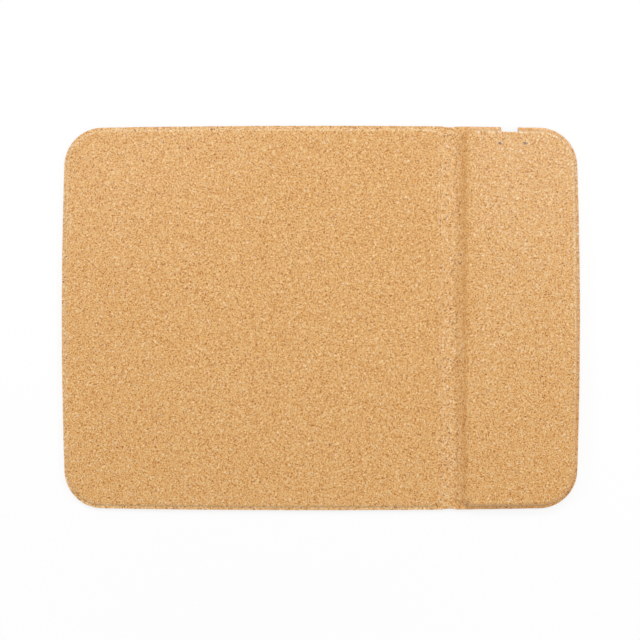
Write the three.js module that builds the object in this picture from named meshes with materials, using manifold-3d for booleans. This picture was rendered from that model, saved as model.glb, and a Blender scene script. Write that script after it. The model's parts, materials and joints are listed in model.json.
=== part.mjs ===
// Cork mouse pad with a fold-over wireless charging panel.
// Millimetres, +Z up. The origin is on the desk under the middle of the open mat.
// +X runs from the mouse pad towards the charging panel, +Y towards the edge with the USB port.

import * as THREE from 'three';
import { mergeVertices } from 'three/addons/utils/BufferGeometryUtils.js';
import Module from 'manifold-3d';

const wasm = await Module();
wasm.setup();

// Whole mat
const MAT_WIDTH = 310;
const MAT_DEPTH = 230;
const MAT_CORNER_R = 23;
const SIDE_BOW = 2.5; // how far the left and right edges swell out in the middle
const END_BOW = 1.6; // the same for the front and back edges
const RIM_W = 1.2; // flat edge all round, where the cork is bonded to the base
const CORK_T = 1.2;
const BASE_T = 0.8;

// Mouse pad
const CORE_T = 1.2; // stiff board under the cork
const PAD_SLOPE_W = 2.3; // width of the pressed step in the cork
const PAD_SLOPE_PULL = 0.4; // share of that width near which the step is steepest
const PAD_FOLD_CORNER_R = 6;

// Fold
const FOLD_MARGIN = 1.4; // flat cork between a panel's step and its crease
const CLOSED_GAP = 0.5; // between the two cork faces when the mat is shut
const CREASE_SLIT = 0.3; // the sheets are parted along each crease
const FOLD_WAIST = 0.5; // how far the ends of the strip draw in

// Charger case
const CASE_WALL = 1.2;
const TRAY_FLOOR_T = 0.8;
const LID_T = 0.8;
const LID_EDGE_R = 1.2; // rounded upper edge under the cork
const LID_SKIRT_H = 0.4; // straight side of the lid below that round
const LIP_T = 0.8; // ridge under the lid that drops inside the tray wall
const LIP_DROP = 0.8; // how far the ridge reaches below the parting line
const CASE_FOLD_CORNER_R = 4;
const CHARGER_SLOPE_W = 3.0; // width of the pressed step in the cork
const CHARGER_SLOPE_PULL = 0.3;
const SLOPE_OVER_CASE = 0.9; // part of a step that lies above the case
const FOLD_SLOPE_W = 6.4; // the same step next to the fold, where it falls more gently
const FOLD_SLOPE_PULL = 0.5;
const FOLD_SLOPE_TOP_PULL = 0.8; // nearer to its end, so that the upper edge is tighter
const RIB_T = 1.0;
const RIB_PITCH = 22;

// USB-C port
const PORT_OFFSET_X = -6.55; // from the middle of the case
const PORT_W = 8.94;
const PORT_H = 3.26;
const PORT_L = 7.35;
const PORT_WALL = 0.3;
const PORT_BACK_T = 1.0;
const PORT_RECESS = 0.2; // mouth behind the end wall of the case
const PORT_EAR = 1.0; // solder ears on both sides
const TONGUE_W = 6.69;
const TONGUE_H = 0.7;
const TONGUE_L = 4.45;
const NOTCH_W = 10.3; // cut through the rim for the plug

// Charging coil
const COIL_TURNS = 8;
const COIL_INNER_R = 10;
const COIL_PITCH = 1.3;
const WIRE_D = 0.8;
const EXIT_INSET = 2.6; // the inner lead leaves from inside the last turn
const LEAD_PITCH = 1.26; // from the turns down to the lead that crosses under them
const FERRITE_T = 1.2;
const FERRITE_MARGIN = 1.4; // beyond the outer turn
const TAPE_T = 0.2;
const FENCE_T = 1.0; // ring that centres the ferrite
const FENCE_RISE = 0.6; // above the underside of the ferrite
const COIL_SIDE_ROOM = 6.6; // from the fence to the ridge of the lid

// Circuit board
const BOARD_W = 40;
const BOARD_D = 24;
const BOARD_T = 1.0;
const BOARD_LIFT = 0.8; // above the floor of the tray
const BOARD_OFFSET_X = 3; // from the middle of the port
const BOARD_CORNER_R = 1.5;
const PIN_R = 0.9;
const PIN_INSET = 3; // from the edges of the board
const POST_R = 2.0;
const PIN_RISE = 0.5; // above the board
const END_PART_INSET = 6; // from the ends of the board to the parts that stand there

// Indicator lights
const LIGHT_SPACING = 14.8;
const LIGHT_OFFSET_X = 1.0; // middle of the pair from the middle of the port
const LIGHT_INSET = 6.9; // from the end wall of the case
const PIPE_R = 0.75;
const PIPE_COLLAR_R = 1.3;
const PIPE_COLLAR_T = 0.5;
const PIPE_RECESS = 0.2; // below the top of the cork
const LED_W = 1.6;
const LED_D = 0.8;
const LED_H = 0.6;

// Fits
const FIT_GAP = 0.1; // round boards, case halves and pins
const PORT_FIT = 0.07; // above and below the port
const PART_GAP = 0.3; // between pieces that only stand near each other

// Steps of the drawn curves
const CORNER_STEPS = 10;
const SLOPE_STEPS = 7;
const SIDE_STEPS = 6;

// Heights
const RIM_TOP = BASE_T + CORK_T;
const CORE_TOP = BASE_T + CORE_T;
const PAD_TOP = CORE_TOP + CORK_T;
const TRAY_INSIDE = BASE_T + TRAY_FLOOR_T;
const LID_UNDER = TRAY_INSIDE + PORT_H + 2 * PORT_FIT;
const CASE_TOP = LID_UNDER + LID_T;
const CHARGER_TOP = CASE_TOP + CORK_T;
const LID_ROUND_Z = CASE_TOP - LID_EDGE_R;
const PARTING_Z = LID_ROUND_Z - LID_SKIRT_H;
const PORT_Z = TRAY_INSIDE + PORT_FIT + PORT_H / 2;
const BOARD_UNDER = TRAY_INSIDE + BOARD_LIFT;
const BOARD_TOP = BOARD_UNDER + BOARD_T;
const TURN_Z = LID_UNDER - FIT_GAP - WIRE_D / 2;
const FERRITE_TOP = TURN_Z - WIRE_D / 2 - FIT_GAP;
const FERRITE_UNDER = FERRITE_TOP - FERRITE_T;
const TAPE_UNDER = FERRITE_UNDER - TAPE_T;
const LEAD_Z = TURN_Z - LEAD_PITCH;
const PAD_LEAD_Z = BOARD_TOP + WIRE_D / 2 + FIT_GAP;

// Plan sizes
const SIDE_ARC_R = ((MAT_DEPTH / 2) ** 2 + SIDE_BOW ** 2) / (2 * SIDE_BOW);
const END_ARC_R = ((MAT_WIDTH / 2) ** 2 + END_BOW ** 2) / (2 * END_BOW);
const SIDE_ARC_X = MAT_WIDTH / 2 - SIDE_ARC_R;
const END_ARC_Y = MAT_DEPTH / 2 - END_ARC_R;
const COIL_OUTER_R = COIL_INNER_R + COIL_PITCH * COIL_TURNS;
const FERRITE_R = COIL_OUTER_R + WIRE_D / 2 + FERRITE_MARGIN;
const FENCE_R = FERRITE_R + PART_GAP;
const CASE_HALF_W = FENCE_R + FENCE_T + COIL_SIDE_ROOM + LIP_T + FIT_GAP + CASE_WALL;
const CASE_INSET = CHARGER_SLOPE_W - SLOPE_OVER_CASE;
const CASE_RIGHT = MAT_WIDTH / 2 - RIM_W - CASE_INSET;
const CASE_X = CASE_RIGHT - CASE_HALF_W;
const SPINE_W = PAD_TOP - RIM_TOP + CHARGER_TOP - RIM_TOP + CLOSED_GAP;
const CASE_LEFT = CASE_X - CASE_HALF_W;
const FOLD_RIGHT = CASE_LEFT - FOLD_SLOPE_W + SLOPE_OVER_CASE;
const FOLD_LEFT = FOLD_RIGHT - SPINE_W - 2 * FOLD_MARGIN;
const PAD_CREASE_X = FOLD_LEFT + FOLD_MARGIN;
const CHARGER_CREASE_X = FOLD_RIGHT - FOLD_MARGIN;
const PORT_X = CASE_X + PORT_OFFSET_X;
const LIGHT_MID_X = PORT_X + LIGHT_OFFSET_X;
const LIGHT_XS = [LIGHT_MID_X - LIGHT_SPACING / 2, LIGHT_MID_X + LIGHT_SPACING / 2];
const NOTCH_Y = backEdge(PORT_X + NOTCH_W / 2, RIM_W + CASE_INSET);
const PORT_MOUTH = NOTCH_Y - PORT_RECESS;
const PORT_BACK = PORT_MOUTH - PORT_L;
const LIGHT_Y = NOTCH_Y - LIGHT_INSET;
const BOARD_X = PORT_X + BOARD_OFFSET_X;
const BOARD_END_ROOM = 2 * FIT_GAP + CASE_WALL + LIP_T + PART_GAP;
const BOARD_BACK = backEdge(BOARD_X + BOARD_W / 2, RIM_W + CASE_INSET) - BOARD_END_ROOM;
const BOARD_FRONT = BOARD_BACK - BOARD_D;

// Where the back edge, moved in by inset, lies at a given X
function backEdge(x, inset) {
  return END_ARC_Y + Math.sqrt((END_ARC_R - inset) ** 2 - x ** 2);
}

// Materials
const looks = {
  cork: new THREE.MeshStandardMaterial({ color: '#deac73', roughness: 0.85, metalness: 0 }),
  base: new THREE.MeshStandardMaterial({ color: '#2b2b2d', roughness: 0.8, metalness: 0 }),
  greyBoard: new THREE.MeshStandardMaterial({ color: '#9a9389', roughness: 0.95, metalness: 0 }),
  casePlastic: new THREE.MeshStandardMaterial({ color: '#1f2022', roughness: 0.5, metalness: 0 }),
  ferrite: new THREE.MeshStandardMaterial({ color: '#37373a', roughness: 0.7, metalness: 0 }),
  tape: new THREE.MeshStandardMaterial({ color: '#e7e2d2', roughness: 0.8, metalness: 0 }),
  copper: new THREE.MeshStandardMaterial({ color: '#b06a3a', roughness: 0.35, metalness: 1 }),
  board: new THREE.MeshStandardMaterial({ color: '#1f5b3a', roughness: 0.55, metalness: 0 }),
  steel: new THREE.MeshStandardMaterial({ color: '#c4c6c9', roughness: 0.3, metalness: 1 }),
  chip: new THREE.MeshStandardMaterial({ color: '#19191b', roughness: 0.6, metalness: 0 }),
  capacitor: new THREE.MeshStandardMaterial({ color: '#a98a63', roughness: 0.5, metalness: 0 }),
  lens: new THREE.MeshStandardMaterial({ color: '#5a636b', roughness: 0.2, metalness: 0 }),
  ledWhite: new THREE.MeshStandardMaterial({ color: '#eeeade', roughness: 0.4, metalness: 0 }),
};

// Geometry as a solid for joining and cutting
function toSolid(geometry) {
  const bare = geometry.clone();
  bare.deleteAttribute('normal');
  bare.deleteAttribute('uv');
  const merged = mergeVertices(bare, 1e-3);
  return new wasm.Manifold(
    new wasm.Mesh({
      numProp: 3,
      vertProperties: merged.attributes.position.array,
      triVerts: new Uint32Array(merged.index.array),
    }),
  );
}

function toGeometry(solid) {
  const { vertProperties, triVerts } = solid.getMesh();
  const geometry = new THREE.BufferGeometry();
  geometry.setAttribute('position', new THREE.BufferAttribute(vertProperties, 3));
  geometry.setIndex(new THREE.BufferAttribute(triVerts, 1));
  const faceted = geometry.toNonIndexed();
  faceted.computeVertexNormals();
  return faceted;
}

const join = (first, ...others) => others.reduce((whole, other) => whole.add(other), first);
const cut = (first, ...others) => others.reduce((whole, other) => whole.subtract(other), first);

// Box from one corner to the other
function block([x0, y0, z0], [x1, y1, z1]) {
  const geometry = new THREE.BoxGeometry(x1 - x0, y1 - y0, z1 - z0);
  return toSolid(geometry.translate((x0 + x1) / 2, (y0 + y1) / 2, (z0 + z1) / 2));
}

// Upright cylinder between two heights
function column(x, y, radius, z0, z1, sides = 24) {
  const geometry = new THREE.CylinderGeometry(radius, radius, z1 - z0, sides).rotateX(Math.PI / 2);
  return toSolid(geometry.translate(x, y, (z0 + z1) / 2));
}

// The back corner at one side of an area: its round touches the wide arc of the back edge and either
// the wide arc of the mat's side or the straight side next to the fold.
function backCorner(side, way, extra) {
  const endReach = END_ARC_R - side.rim - side.r;
  const corner = {};
  if (side.x === undefined) {
    const sideReach = SIDE_ARC_R - side.rim - side.r;
    const apart = Math.hypot(SIDE_ARC_X, END_ARC_Y);
    const turn = Math.acos((sideReach ** 2 + apart ** 2 - endReach ** 2) / (2 * sideReach * apart));
    const towards = Math.atan2(END_ARC_Y, -SIDE_ARC_X) + turn;
    corner.x = way * (SIDE_ARC_X + sideReach * Math.cos(towards));
    corner.y = sideReach * Math.sin(towards);
    corner.sideAngle = Math.atan2(corner.y, corner.x - way * SIDE_ARC_X);
  } else {
    corner.x = side.x - way * (side.r + extra);
    corner.y = END_ARC_Y + Math.sqrt(endReach ** 2 - corner.x ** 2);
    corner.sideAngle = way > 0 ? 0 : Math.PI;
  }
  corner.endAngle = Math.atan2(corner.y - END_ARC_Y, corner.x);
  return corner;
}

// Outline of an area, moved in by inset, or by foldInset on a straight side, as points that run
// anticlockwise
function outline({ left, right }, inset = 0, foldInset = inset) {
  const extra = foldInset - inset;
  const [a, b] = [backCorner(right, 1, extra), backCorner(left, -1, extra)];
  const full = 2 * Math.PI;
  const endR = END_ARC_R - right.rim - inset;
  const points = [];
  const arc = (x, y, radius, from, to, steps) => {
    const curve = new THREE.EllipseCurve(x, y, radius, radius, from, to);
    points.push(...curve.getPoints(steps).slice(0, -1));
  };
  const side = ({ x, r, rim }, corner, way, from, to) => {
    if (x === undefined) arc(way * SIDE_ARC_X, 0, SIDE_ARC_R - rim - inset, from, to, SIDE_STEPS);
    else points.push(new THREE.Vector2(corner.x + way * (r - inset), -way * corner.y));
  };
  arc(a.x, -a.y, right.r - inset, -a.endAngle, -a.sideAngle, CORNER_STEPS);
  side(right, a, 1, -a.sideAngle, a.sideAngle);
  arc(a.x, a.y, right.r - inset, a.sideAngle, a.endAngle, CORNER_STEPS);
  arc(0, END_ARC_Y, endR, a.endAngle, b.endAngle, SIDE_STEPS);
  arc(b.x, b.y, left.r - inset, b.endAngle, b.sideAngle, CORNER_STEPS);
  side(left, b, -1, b.sideAngle, full - b.sideAngle);
  arc(b.x, -b.y, left.r - inset, full - b.sideAngle, full - b.endAngle, CORNER_STEPS);
  arc(0, -END_ARC_Y, endR, full - b.endAngle, full - a.endAngle, SIDE_STEPS);
  return points;
}
const areaShape = (area, inset) => new THREE.Shape(outline(area, inset));

// Flat plate of one outline between two heights
function plate(shape, z0, z1) {
  const depth = z1 - z0;
  const flat = { depth, bevelEnabled: false, curveSegments: CORNER_STEPS / 2 };
  return toSolid(new THREE.ExtrudeGeometry(shape, flat).translate(0, 0, z0));
}

// Solid through a stack of outlines, from the lowest to the highest: [inset, height, inset at the fold]
function stackOutlines(area, levels) {
  const rings = levels.map(([inset, , foldInset]) => outline(area, inset, foldInset));
  const count = rings[0].length;
  const positions = rings.flatMap((ring, k) => ring.flatMap(({ x, y }) => [x, y, levels[k][1]]));
  const faces = [];
  for (let k = 0; k < rings.length - 1; k += 1) {
    for (let i = 0; i < count; i += 1) {
      const [a, b] = [k * count + i, k * count + ((i + 1) % count)];
      faces.push(a, b, b + count, a, b + count, a + count);
    }
  }
  const topStart = (rings.length - 1) * count;
  for (const [a, b, c] of THREE.ShapeUtils.triangulateShape(rings[0], [])) faces.push(a, c, b);
  for (const [a, b, c] of THREE.ShapeUtils.triangulateShape(rings.at(-1), [])) {
    faces.push(topStart + a, topStart + b, topStart + c);
  }
  const geometry = new THREE.BufferGeometry();
  geometry.setAttribute('position', new THREE.Float32BufferAttribute(positions, 3));
  geometry.setIndex(faces);
  return toSolid(geometry);
}

// Section of a cork step that rises in a soft S from the rim to the top of a panel
function stepSection(width, pull, top, topPull = pull) {
  const at = (share, z) => new THREE.Vector2(width * share, z);
  const curve = new THREE.CubicBezierCurve(at(0, RIM_TOP), at(pull, RIM_TOP), at(topPull, top), at(1, top));
  return curve.getPoints(SLOPE_STEPS);
}

// Levels of a cork step with one section along the rim and one along the fold
function pressedStep(section, foldSection) {
  const rise = section.map(({ x, y }, k) => [x, y, foldSection[k].x]);
  return [[0, BASE_T, 0], ...rise];
}

// Levels of the upper case edge: straight side, then a quarter round
function caseSide(inset, z0) {
  const levels = [[inset, z0]];
  for (const share of [0, 1 / 3, 2 / 3, 1]) {
    const angle = (share * Math.PI) / 2;
    const along = LID_EDGE_R * (1 - Math.cos(angle));
    levels.push([inset + along, LID_ROUND_Z + LID_EDGE_R * Math.sin(angle)]);
  }
  return levels;
}

// Plan areas: a side with no x follows the mat's edge, and rim is how far it lies inside that edge
const matArea = { left: { r: MAT_CORNER_R, rim: 0 }, right: { r: MAT_CORNER_R, rim: 0 } };
const padFoot = {
  left: { r: MAT_CORNER_R - RIM_W, rim: RIM_W },
  right: { x: FOLD_LEFT, r: PAD_FOLD_CORNER_R, rim: RIM_W },
};
const chargerFoot = {
  left: { x: FOLD_RIGHT, r: CASE_FOLD_CORNER_R + CASE_INSET, rim: RIM_W },
  right: { r: MAT_CORNER_R - RIM_W, rim: RIM_W },
};
const caseFoot = {
  left: { ...chargerFoot.left, x: CASE_LEFT - CASE_INSET },
  right: chargerFoot.right,
};

// Ends of the fold strip are drawn in, and the plug notch goes through both sheets
function waistCut(way) {
  const [left, right] = [backEdge(FOLD_LEFT, 0) * way, backEdge(FOLD_RIGHT, 0) * way];
  const waist = (left + right) / 2 - 2 * FOLD_WAIST * way;
  const beyond = MAT_DEPTH * way;
  const shape = new THREE.Shape();
  shape.moveTo(FOLD_LEFT, beyond);
  shape.lineTo(FOLD_LEFT, left);
  shape.quadraticCurveTo((FOLD_LEFT + FOLD_RIGHT) / 2, waist, FOLD_RIGHT, right);
  shape.lineTo(FOLD_RIGHT, beyond);
  return plate(shape, -1, RIM_TOP + 1);
}
const notchLow = [PORT_X - NOTCH_W / 2, NOTCH_Y, -1];
const notchHigh = [PORT_X + NOTCH_W / 2, MAT_DEPTH, CHARGER_TOP + 1];
const sheetCuts = [waistCut(1), waistCut(-1), block(notchLow, notchHigh)];

// One cork sheet, pressed over the board and the case
const padSection = stepSection(PAD_SLOPE_W, PAD_SLOPE_PULL, PAD_TOP);
const chargerSection = stepSection(CHARGER_SLOPE_W, CHARGER_SLOPE_PULL, CHARGER_TOP);
const foldSection = stepSection(FOLD_SLOPE_W, FOLD_SLOPE_PULL, CHARGER_TOP, FOLD_SLOPE_TOP_PULL);
const pipeHoles = LIGHT_XS.map((x) => column(x, LIGHT_Y, PIPE_R + FIT_GAP, LID_UNDER - 1, CHARGER_TOP + 1));
const corkSheet = cut(
  join(
    plate(areaShape(matArea), BASE_T, RIM_TOP),
    stackOutlines(padFoot, pressedStep(padSection, padSection)),
    stackOutlines(chargerFoot, pressedStep(chargerSection, foldSection)),
  ),
  plate(areaShape(padFoot, PAD_SLOPE_W), BASE_T - 1, CORE_TOP),
  stackOutlines(caseFoot, caseSide(CASE_INSET, BASE_T - 1)),
  ...sheetCuts,
  ...pipeHoles,
);
const baseSheet = cut(plate(areaShape(matArea), 0, BASE_T), ...sheetCuts);

// The sheets are parted at the two creases
function between(x0, x1) {
  return block([x0, -MAT_DEPTH, -1], [x1, MAT_DEPTH, CHARGER_TOP + 1]);
}
const padSide = between(-MAT_WIDTH, PAD_CREASE_X - CREASE_SLIT / 2);
const spineSide = between(PAD_CREASE_X + CREASE_SLIT / 2, CHARGER_CREASE_X - CREASE_SLIT / 2);
const chargerSide = between(CHARGER_CREASE_X + CREASE_SLIT / 2, MAT_WIDTH);

const coreBoard = plate(areaShape(padFoot, PAD_SLOPE_W + FIT_GAP), BASE_T, CORE_TOP);

// Case halves
const caseOuter = CASE_INSET + FIT_GAP;
const caseInner = caseOuter + CASE_WALL;
const lipOuter = caseInner + FIT_GAP;
const portCutW = PORT_W / 2 + FIT_GAP;
const portCut = block(
  [PORT_X - portCutW, NOTCH_Y - CASE_WALL - LIP_T - 1, PORT_Z - PORT_H / 2 - PORT_FIT],
  [PORT_X + portCutW, NOTCH_Y + 1, PORT_Z + PORT_H / 2 + PORT_FIT],
);
const innerLeadX = CASE_X - (COIL_INNER_R - EXIT_INSET);
const outerLeadX = CASE_X + COIL_OUTER_R;
const outerPadX = BOARD_X + BOARD_W / 2 - 2 * PIN_INSET - POST_R;
const laneHalf = WIRE_D / 2 + PART_GAP;

function ring(innerR, outerR, z0, z1) {
  return cut(column(CASE_X, 0, outerR, z0, z1, 40), column(CASE_X, 0, innerR, z0 - 1, z1 + 1, 40));
}

// Way for a lead between two places across the case
function lane(xa, xb, y0, y1) {
  const low = [Math.min(xa, xb) - laneHalf, y0, TRAY_INSIDE];
  return block(low, [Math.max(xa, xb) + laneHalf, y1, CASE_TOP]);
}

// Cross ribs that hold the lid up, clear of the coil, the board and the ridge of the lid
function ribs() {
  const room = areaShape(caseFoot, lipOuter + LIP_T + PART_GAP);
  const inside = plate(room, TRAY_INSIDE - TRAY_FLOOR_T / 2, LID_UNDER - FIT_GAP);
  const low = -backEdge(CASE_X, RIM_W + CASE_INSET) + CASE_WALL + LIP_T + RIB_PITCH / 2;
  const made = [];
  for (let y = low; y < BOARD_FRONT - RIB_PITCH / 2; y += RIB_PITCH) {
    if (Math.abs(y) > FENCE_R + FENCE_T + PART_GAP) {
      const from = [CASE_X - CASE_HALF_W, y - RIB_T / 2, 0];
      made.push(block(from, [CASE_X + CASE_HALF_W, y + RIB_T / 2, CASE_TOP]).intersect(inside));
    }
  }
  return made;
}

const boardPins = [-1, 1].flatMap((sx) =>
  [BOARD_FRONT + PIN_INSET, BOARD_BACK - PIN_INSET].map((y) => [
    BOARD_X + sx * (BOARD_W / 2 - PIN_INSET),
    y,
  ]),
);
const tray = cut(
  join(
    cut(
      plate(areaShape(caseFoot, caseOuter), BASE_T, PARTING_Z),
      plate(areaShape(caseFoot, caseInner), TRAY_INSIDE, PARTING_Z + 1),
    ),
    column(CASE_X, 0, COIL_INNER_R, BASE_T + TRAY_FLOOR_T / 2, TAPE_UNDER, 40),
    ring(FERRITE_R - 2 * FENCE_T, FERRITE_R, BASE_T + TRAY_FLOOR_T / 2, TAPE_UNDER),
    ring(FENCE_R, FENCE_R + FENCE_T, BASE_T + TRAY_FLOOR_T / 2, FERRITE_UNDER + FENCE_RISE),
    ...ribs(),
    ...boardPins.map(([x, y]) => column(x, y, POST_R, BASE_T + TRAY_FLOOR_T / 2, BOARD_UNDER)),
    ...boardPins.map(([x, y]) => column(x, y, PIN_R, BASE_T + TRAY_FLOOR_T / 2, BOARD_TOP + PIN_RISE)),
  ),
  portCut,
  lane(innerLeadX, innerLeadX, 0, BOARD_FRONT),
  lane(outerPadX, outerLeadX, FENCE_R + FENCE_T, BOARD_FRONT),
);

const lid = cut(
  join(
    cut(
      stackOutlines(caseFoot, caseSide(caseOuter, PARTING_Z)),
      plate(areaShape(caseFoot, caseInner), PARTING_Z - 1, LID_UNDER),
    ),
    cut(
      plate(areaShape(caseFoot, lipOuter), PARTING_Z - LIP_DROP, LID_UNDER + LID_T / 2),
      plate(areaShape(caseFoot, lipOuter + LIP_T), PARTING_Z - LIP_DROP - 1, LID_UNDER),
    ),
  ),
  portCut,
  ...pipeHoles,
);

// Coil stack
const ferrite = cut(
  column(CASE_X, 0, FERRITE_R, FERRITE_UNDER, FERRITE_TOP, 40),
  lane(innerLeadX, innerLeadX, -2 * laneHalf, FERRITE_R + 1),
);
const tape = column(CASE_X, 0, FERRITE_R - FENCE_T, TAPE_UNDER, FERRITE_UNDER, 40);

// The wire runs from the board to the outer turn, winds inwards, drops into the slot of the ferrite
// and comes back to the board under the turns.
const STEPS_PER_TURN = 24;
const windingTurns = COIL_TURNS + 0.5;

function coilPoints() {
  const points = [];
  const add = (x, y, z) => points.push(new THREE.Vector3(x, y, z));
  const landing = BOARD_FRONT + PIN_INSET;
  const bendStart = BOARD_FRONT - RIB_PITCH / 4;
  const bendEnd = FENCE_R + 2 * FENCE_T;
  add(outerPadX, landing, PAD_LEAD_Z);
  add(outerPadX, landing - 2 * WIRE_D, PAD_LEAD_Z);
  add(outerPadX, bendStart, PAD_LEAD_Z);
  const run = bendStart - bendEnd;
  for (const share of [0.25, 0.5, 0.75]) {
    const ease = share * share * (3 - 2 * share);
    const x = outerPadX + (outerLeadX - outerPadX) * ease;
    add(x, bendStart - run * share, PAD_LEAD_Z + (TURN_Z - PAD_LEAD_Z) * ease);
  }
  add(outerLeadX, bendEnd, TURN_Z);
  add(outerLeadX, bendEnd / 2, TURN_Z);
  const last = windingTurns * STEPS_PER_TURN;
  for (let step = 0; step <= last; step += 1) {
    const turns = step / STEPS_PER_TURN;
    const leaving = Math.max(0, (turns - COIL_TURNS) / 0.5);
    const radius = COIL_OUTER_R - COIL_PITCH * Math.min(turns, COIL_TURNS) - EXIT_INSET * leaving;
    const angle = -turns * 2 * Math.PI;
    add(CASE_X + radius * Math.cos(angle), radius * Math.sin(angle), TURN_Z);
  }
  const dive = LEAD_PITCH * 2;
  add(innerLeadX, dive * 0.5, TURN_Z - LEAD_PITCH * 0.2);
  add(innerLeadX, dive * 1.0, TURN_Z - LEAD_PITCH * 0.5);
  add(innerLeadX, dive * 1.5, TURN_Z - LEAD_PITCH * 0.85);
  add(innerLeadX, dive * 2.0, LEAD_Z);
  add(innerLeadX, FERRITE_R / 2, LEAD_Z);
  add(innerLeadX, bendEnd, LEAD_Z);
  add(innerLeadX, (bendEnd + bendStart) / 2, (LEAD_Z + PAD_LEAD_Z) / 2);
  add(innerLeadX, bendStart, PAD_LEAD_Z);
  add(innerLeadX, landing - 2 * WIRE_D, PAD_LEAD_Z);
  add(innerLeadX, landing, PAD_LEAD_Z);
  return points;
}

const coilPath = new THREE.CatmullRomCurve3(coilPoints(), false, 'centripetal');
coilPath.arcLengthDivisions = 6000;
const coilSteps = Math.round(windingTurns * STEPS_PER_TURN * 1.3);
const wireSection = new THREE.Shape();
for (let k = 0; k < 6; k += 1) {
  const angle = (k * Math.PI) / 3;
  const at = [(WIRE_D / 2) * Math.cos(angle), (WIRE_D / 2) * Math.sin(angle)];
  if (k === 0) wireSection.moveTo(...at);
  else wireSection.lineTo(...at);
}
const coil = new THREE.ExtrudeGeometry(wireSection, {
  steps: coilSteps,
  extrudePath: coilPath,
  bevelEnabled: false,
});

// Least gap of the wire to itself, between points that lie apart along it
function leastGap(path, count, diameter) {
  const points = path.getSpacedPoints(count);
  const spacing = path.getLength() / count;
  const apart = Math.ceil((4 * diameter) / spacing);
  let least = Infinity;
  for (let i = 0; i < points.length; i += 1) {
    for (let j = i + apart; j < points.length; j += 1) {
      least = Math.min(least, points[i].distanceTo(points[j]) - diameter);
    }
  }
  return least;
}
console.log('charging_coil least gap', leastGap(coilPath, 3000, WIRE_D).toFixed(2), 'mm');

// Circuit board with a bay for the port and a hole for each pin
function boardShape() {
  const [x0, x1] = [BOARD_X - BOARD_W / 2, BOARD_X + BOARD_W / 2];
  const bay = PORT_W / 2 + FIT_GAP;
  const bayFront = PORT_BACK - FIT_GAP;
  const r = BOARD_CORNER_R;
  const shape = new THREE.Shape();
  shape.absarc(x0 + r, BOARD_FRONT + r, r, Math.PI, Math.PI * 1.5);
  shape.absarc(x1 - r, BOARD_FRONT + r, r, -Math.PI / 2, 0);
  shape.absarc(x1 - r, BOARD_BACK - r, r, 0, Math.PI / 2);
  shape.lineTo(PORT_X + bay, BOARD_BACK);
  shape.lineTo(PORT_X + bay, bayFront);
  shape.lineTo(PORT_X - bay, bayFront);
  shape.lineTo(PORT_X - bay, BOARD_BACK);
  shape.absarc(x0 + r, BOARD_BACK - r, r, Math.PI / 2, Math.PI);
  for (const [x, y] of boardPins) {
    shape.holes.push(new THREE.Path().absarc(x, y, PIN_R + FIT_GAP, 0, 2 * Math.PI));
  }
  return shape;
}

// USB-C port, drawn facing +Z and then turned to face +Y
function slotShape(width, height) {
  const r = height / 2;
  const shape = new THREE.Shape();
  shape.absarc(width / 2 - r, 0, r, -Math.PI / 2, Math.PI / 2);
  shape.absarc(-width / 2 + r, 0, r, Math.PI / 2, Math.PI * 1.5);
  return shape;
}

function portSolid() {
  const outside = plate(slotShape(PORT_W, PORT_H), 0, PORT_L);
  const mouth = slotShape(PORT_W - 2 * PORT_WALL, PORT_H - 2 * PORT_WALL);
  const hollow = cut(outside, plate(mouth, PORT_BACK_T, PORT_L + 1));
  const turned = hollow.rotate([-90, 0, 0]).translate([PORT_X, PORT_BACK, PORT_Z]);
  const earReach = PORT_W / 2 + PORT_EAR;
  const ears = [-1, 1].map((side) => {
    const [xa, xb] = [PORT_X + side * earReach, PORT_X + side * (PORT_W / 2 - PORT_WALL / 2)];
    const low = [Math.min(xa, xb), PORT_BACK + 1.5 * PORT_EAR, BOARD_TOP];
    return block(low, [Math.max(xa, xb), PORT_BACK + 3.5 * PORT_EAR, BOARD_TOP + PORT_WALL]);
  });
  return join(turned, ...ears);
}

const tongueBack = PORT_BACK + PORT_BACK_T;

// Light pipe with a collar that stops under the lid
function pipeGeometry() {
  const low = BOARD_TOP + LED_H + FIT_GAP;
  const high = CHARGER_TOP - PIPE_RECESS;
  const profile = [
    [0, low],
    [PIPE_R, low],
    [PIPE_R, LID_UNDER - PIPE_COLLAR_T],
    [PIPE_COLLAR_R, LID_UNDER - PIPE_COLLAR_T],
    [PIPE_COLLAR_R, LID_UNDER],
    [PIPE_R, LID_UNDER],
    [PIPE_R, high],
    [0, high],
  ];
  const points = profile.map(([radius, z]) => new THREE.Vector2(radius, z));
  return new THREE.LatheGeometry(points, 16).rotateX(Math.PI / 2);
}

// Assembly
const mat = new THREE.Group();
mat.name = 'folding_charger_mat';
const mousePad = new THREE.Group();
const foldStrip = new THREE.Group();
const chargerPanel = new THREE.Group();
mousePad.name = 'mouse_pad';
foldStrip.name = 'fold_strip';
chargerPanel.name = 'charger_panel';
mat.add(mousePad, foldStrip, chargerPanel);

function addPiece(group, name, form, material) {
  const geometry = form.isBufferGeometry ? form : toGeometry(form);
  const mesh = new THREE.Mesh(geometry, material);
  mesh.name = name;
  group.add(mesh);
  return mesh;
}

addPiece(mousePad, 'pad_cork_top', corkSheet.intersect(padSide), looks.cork);
addPiece(mousePad, 'pad_core_board', coreBoard, looks.greyBoard);
addPiece(mousePad, 'pad_base_sheet', baseSheet.intersect(padSide), looks.base);

addPiece(foldStrip, 'fold_cork_strip', corkSheet.intersect(spineSide), looks.cork);
addPiece(foldStrip, 'fold_base_strip', baseSheet.intersect(spineSide), looks.base);

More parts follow.
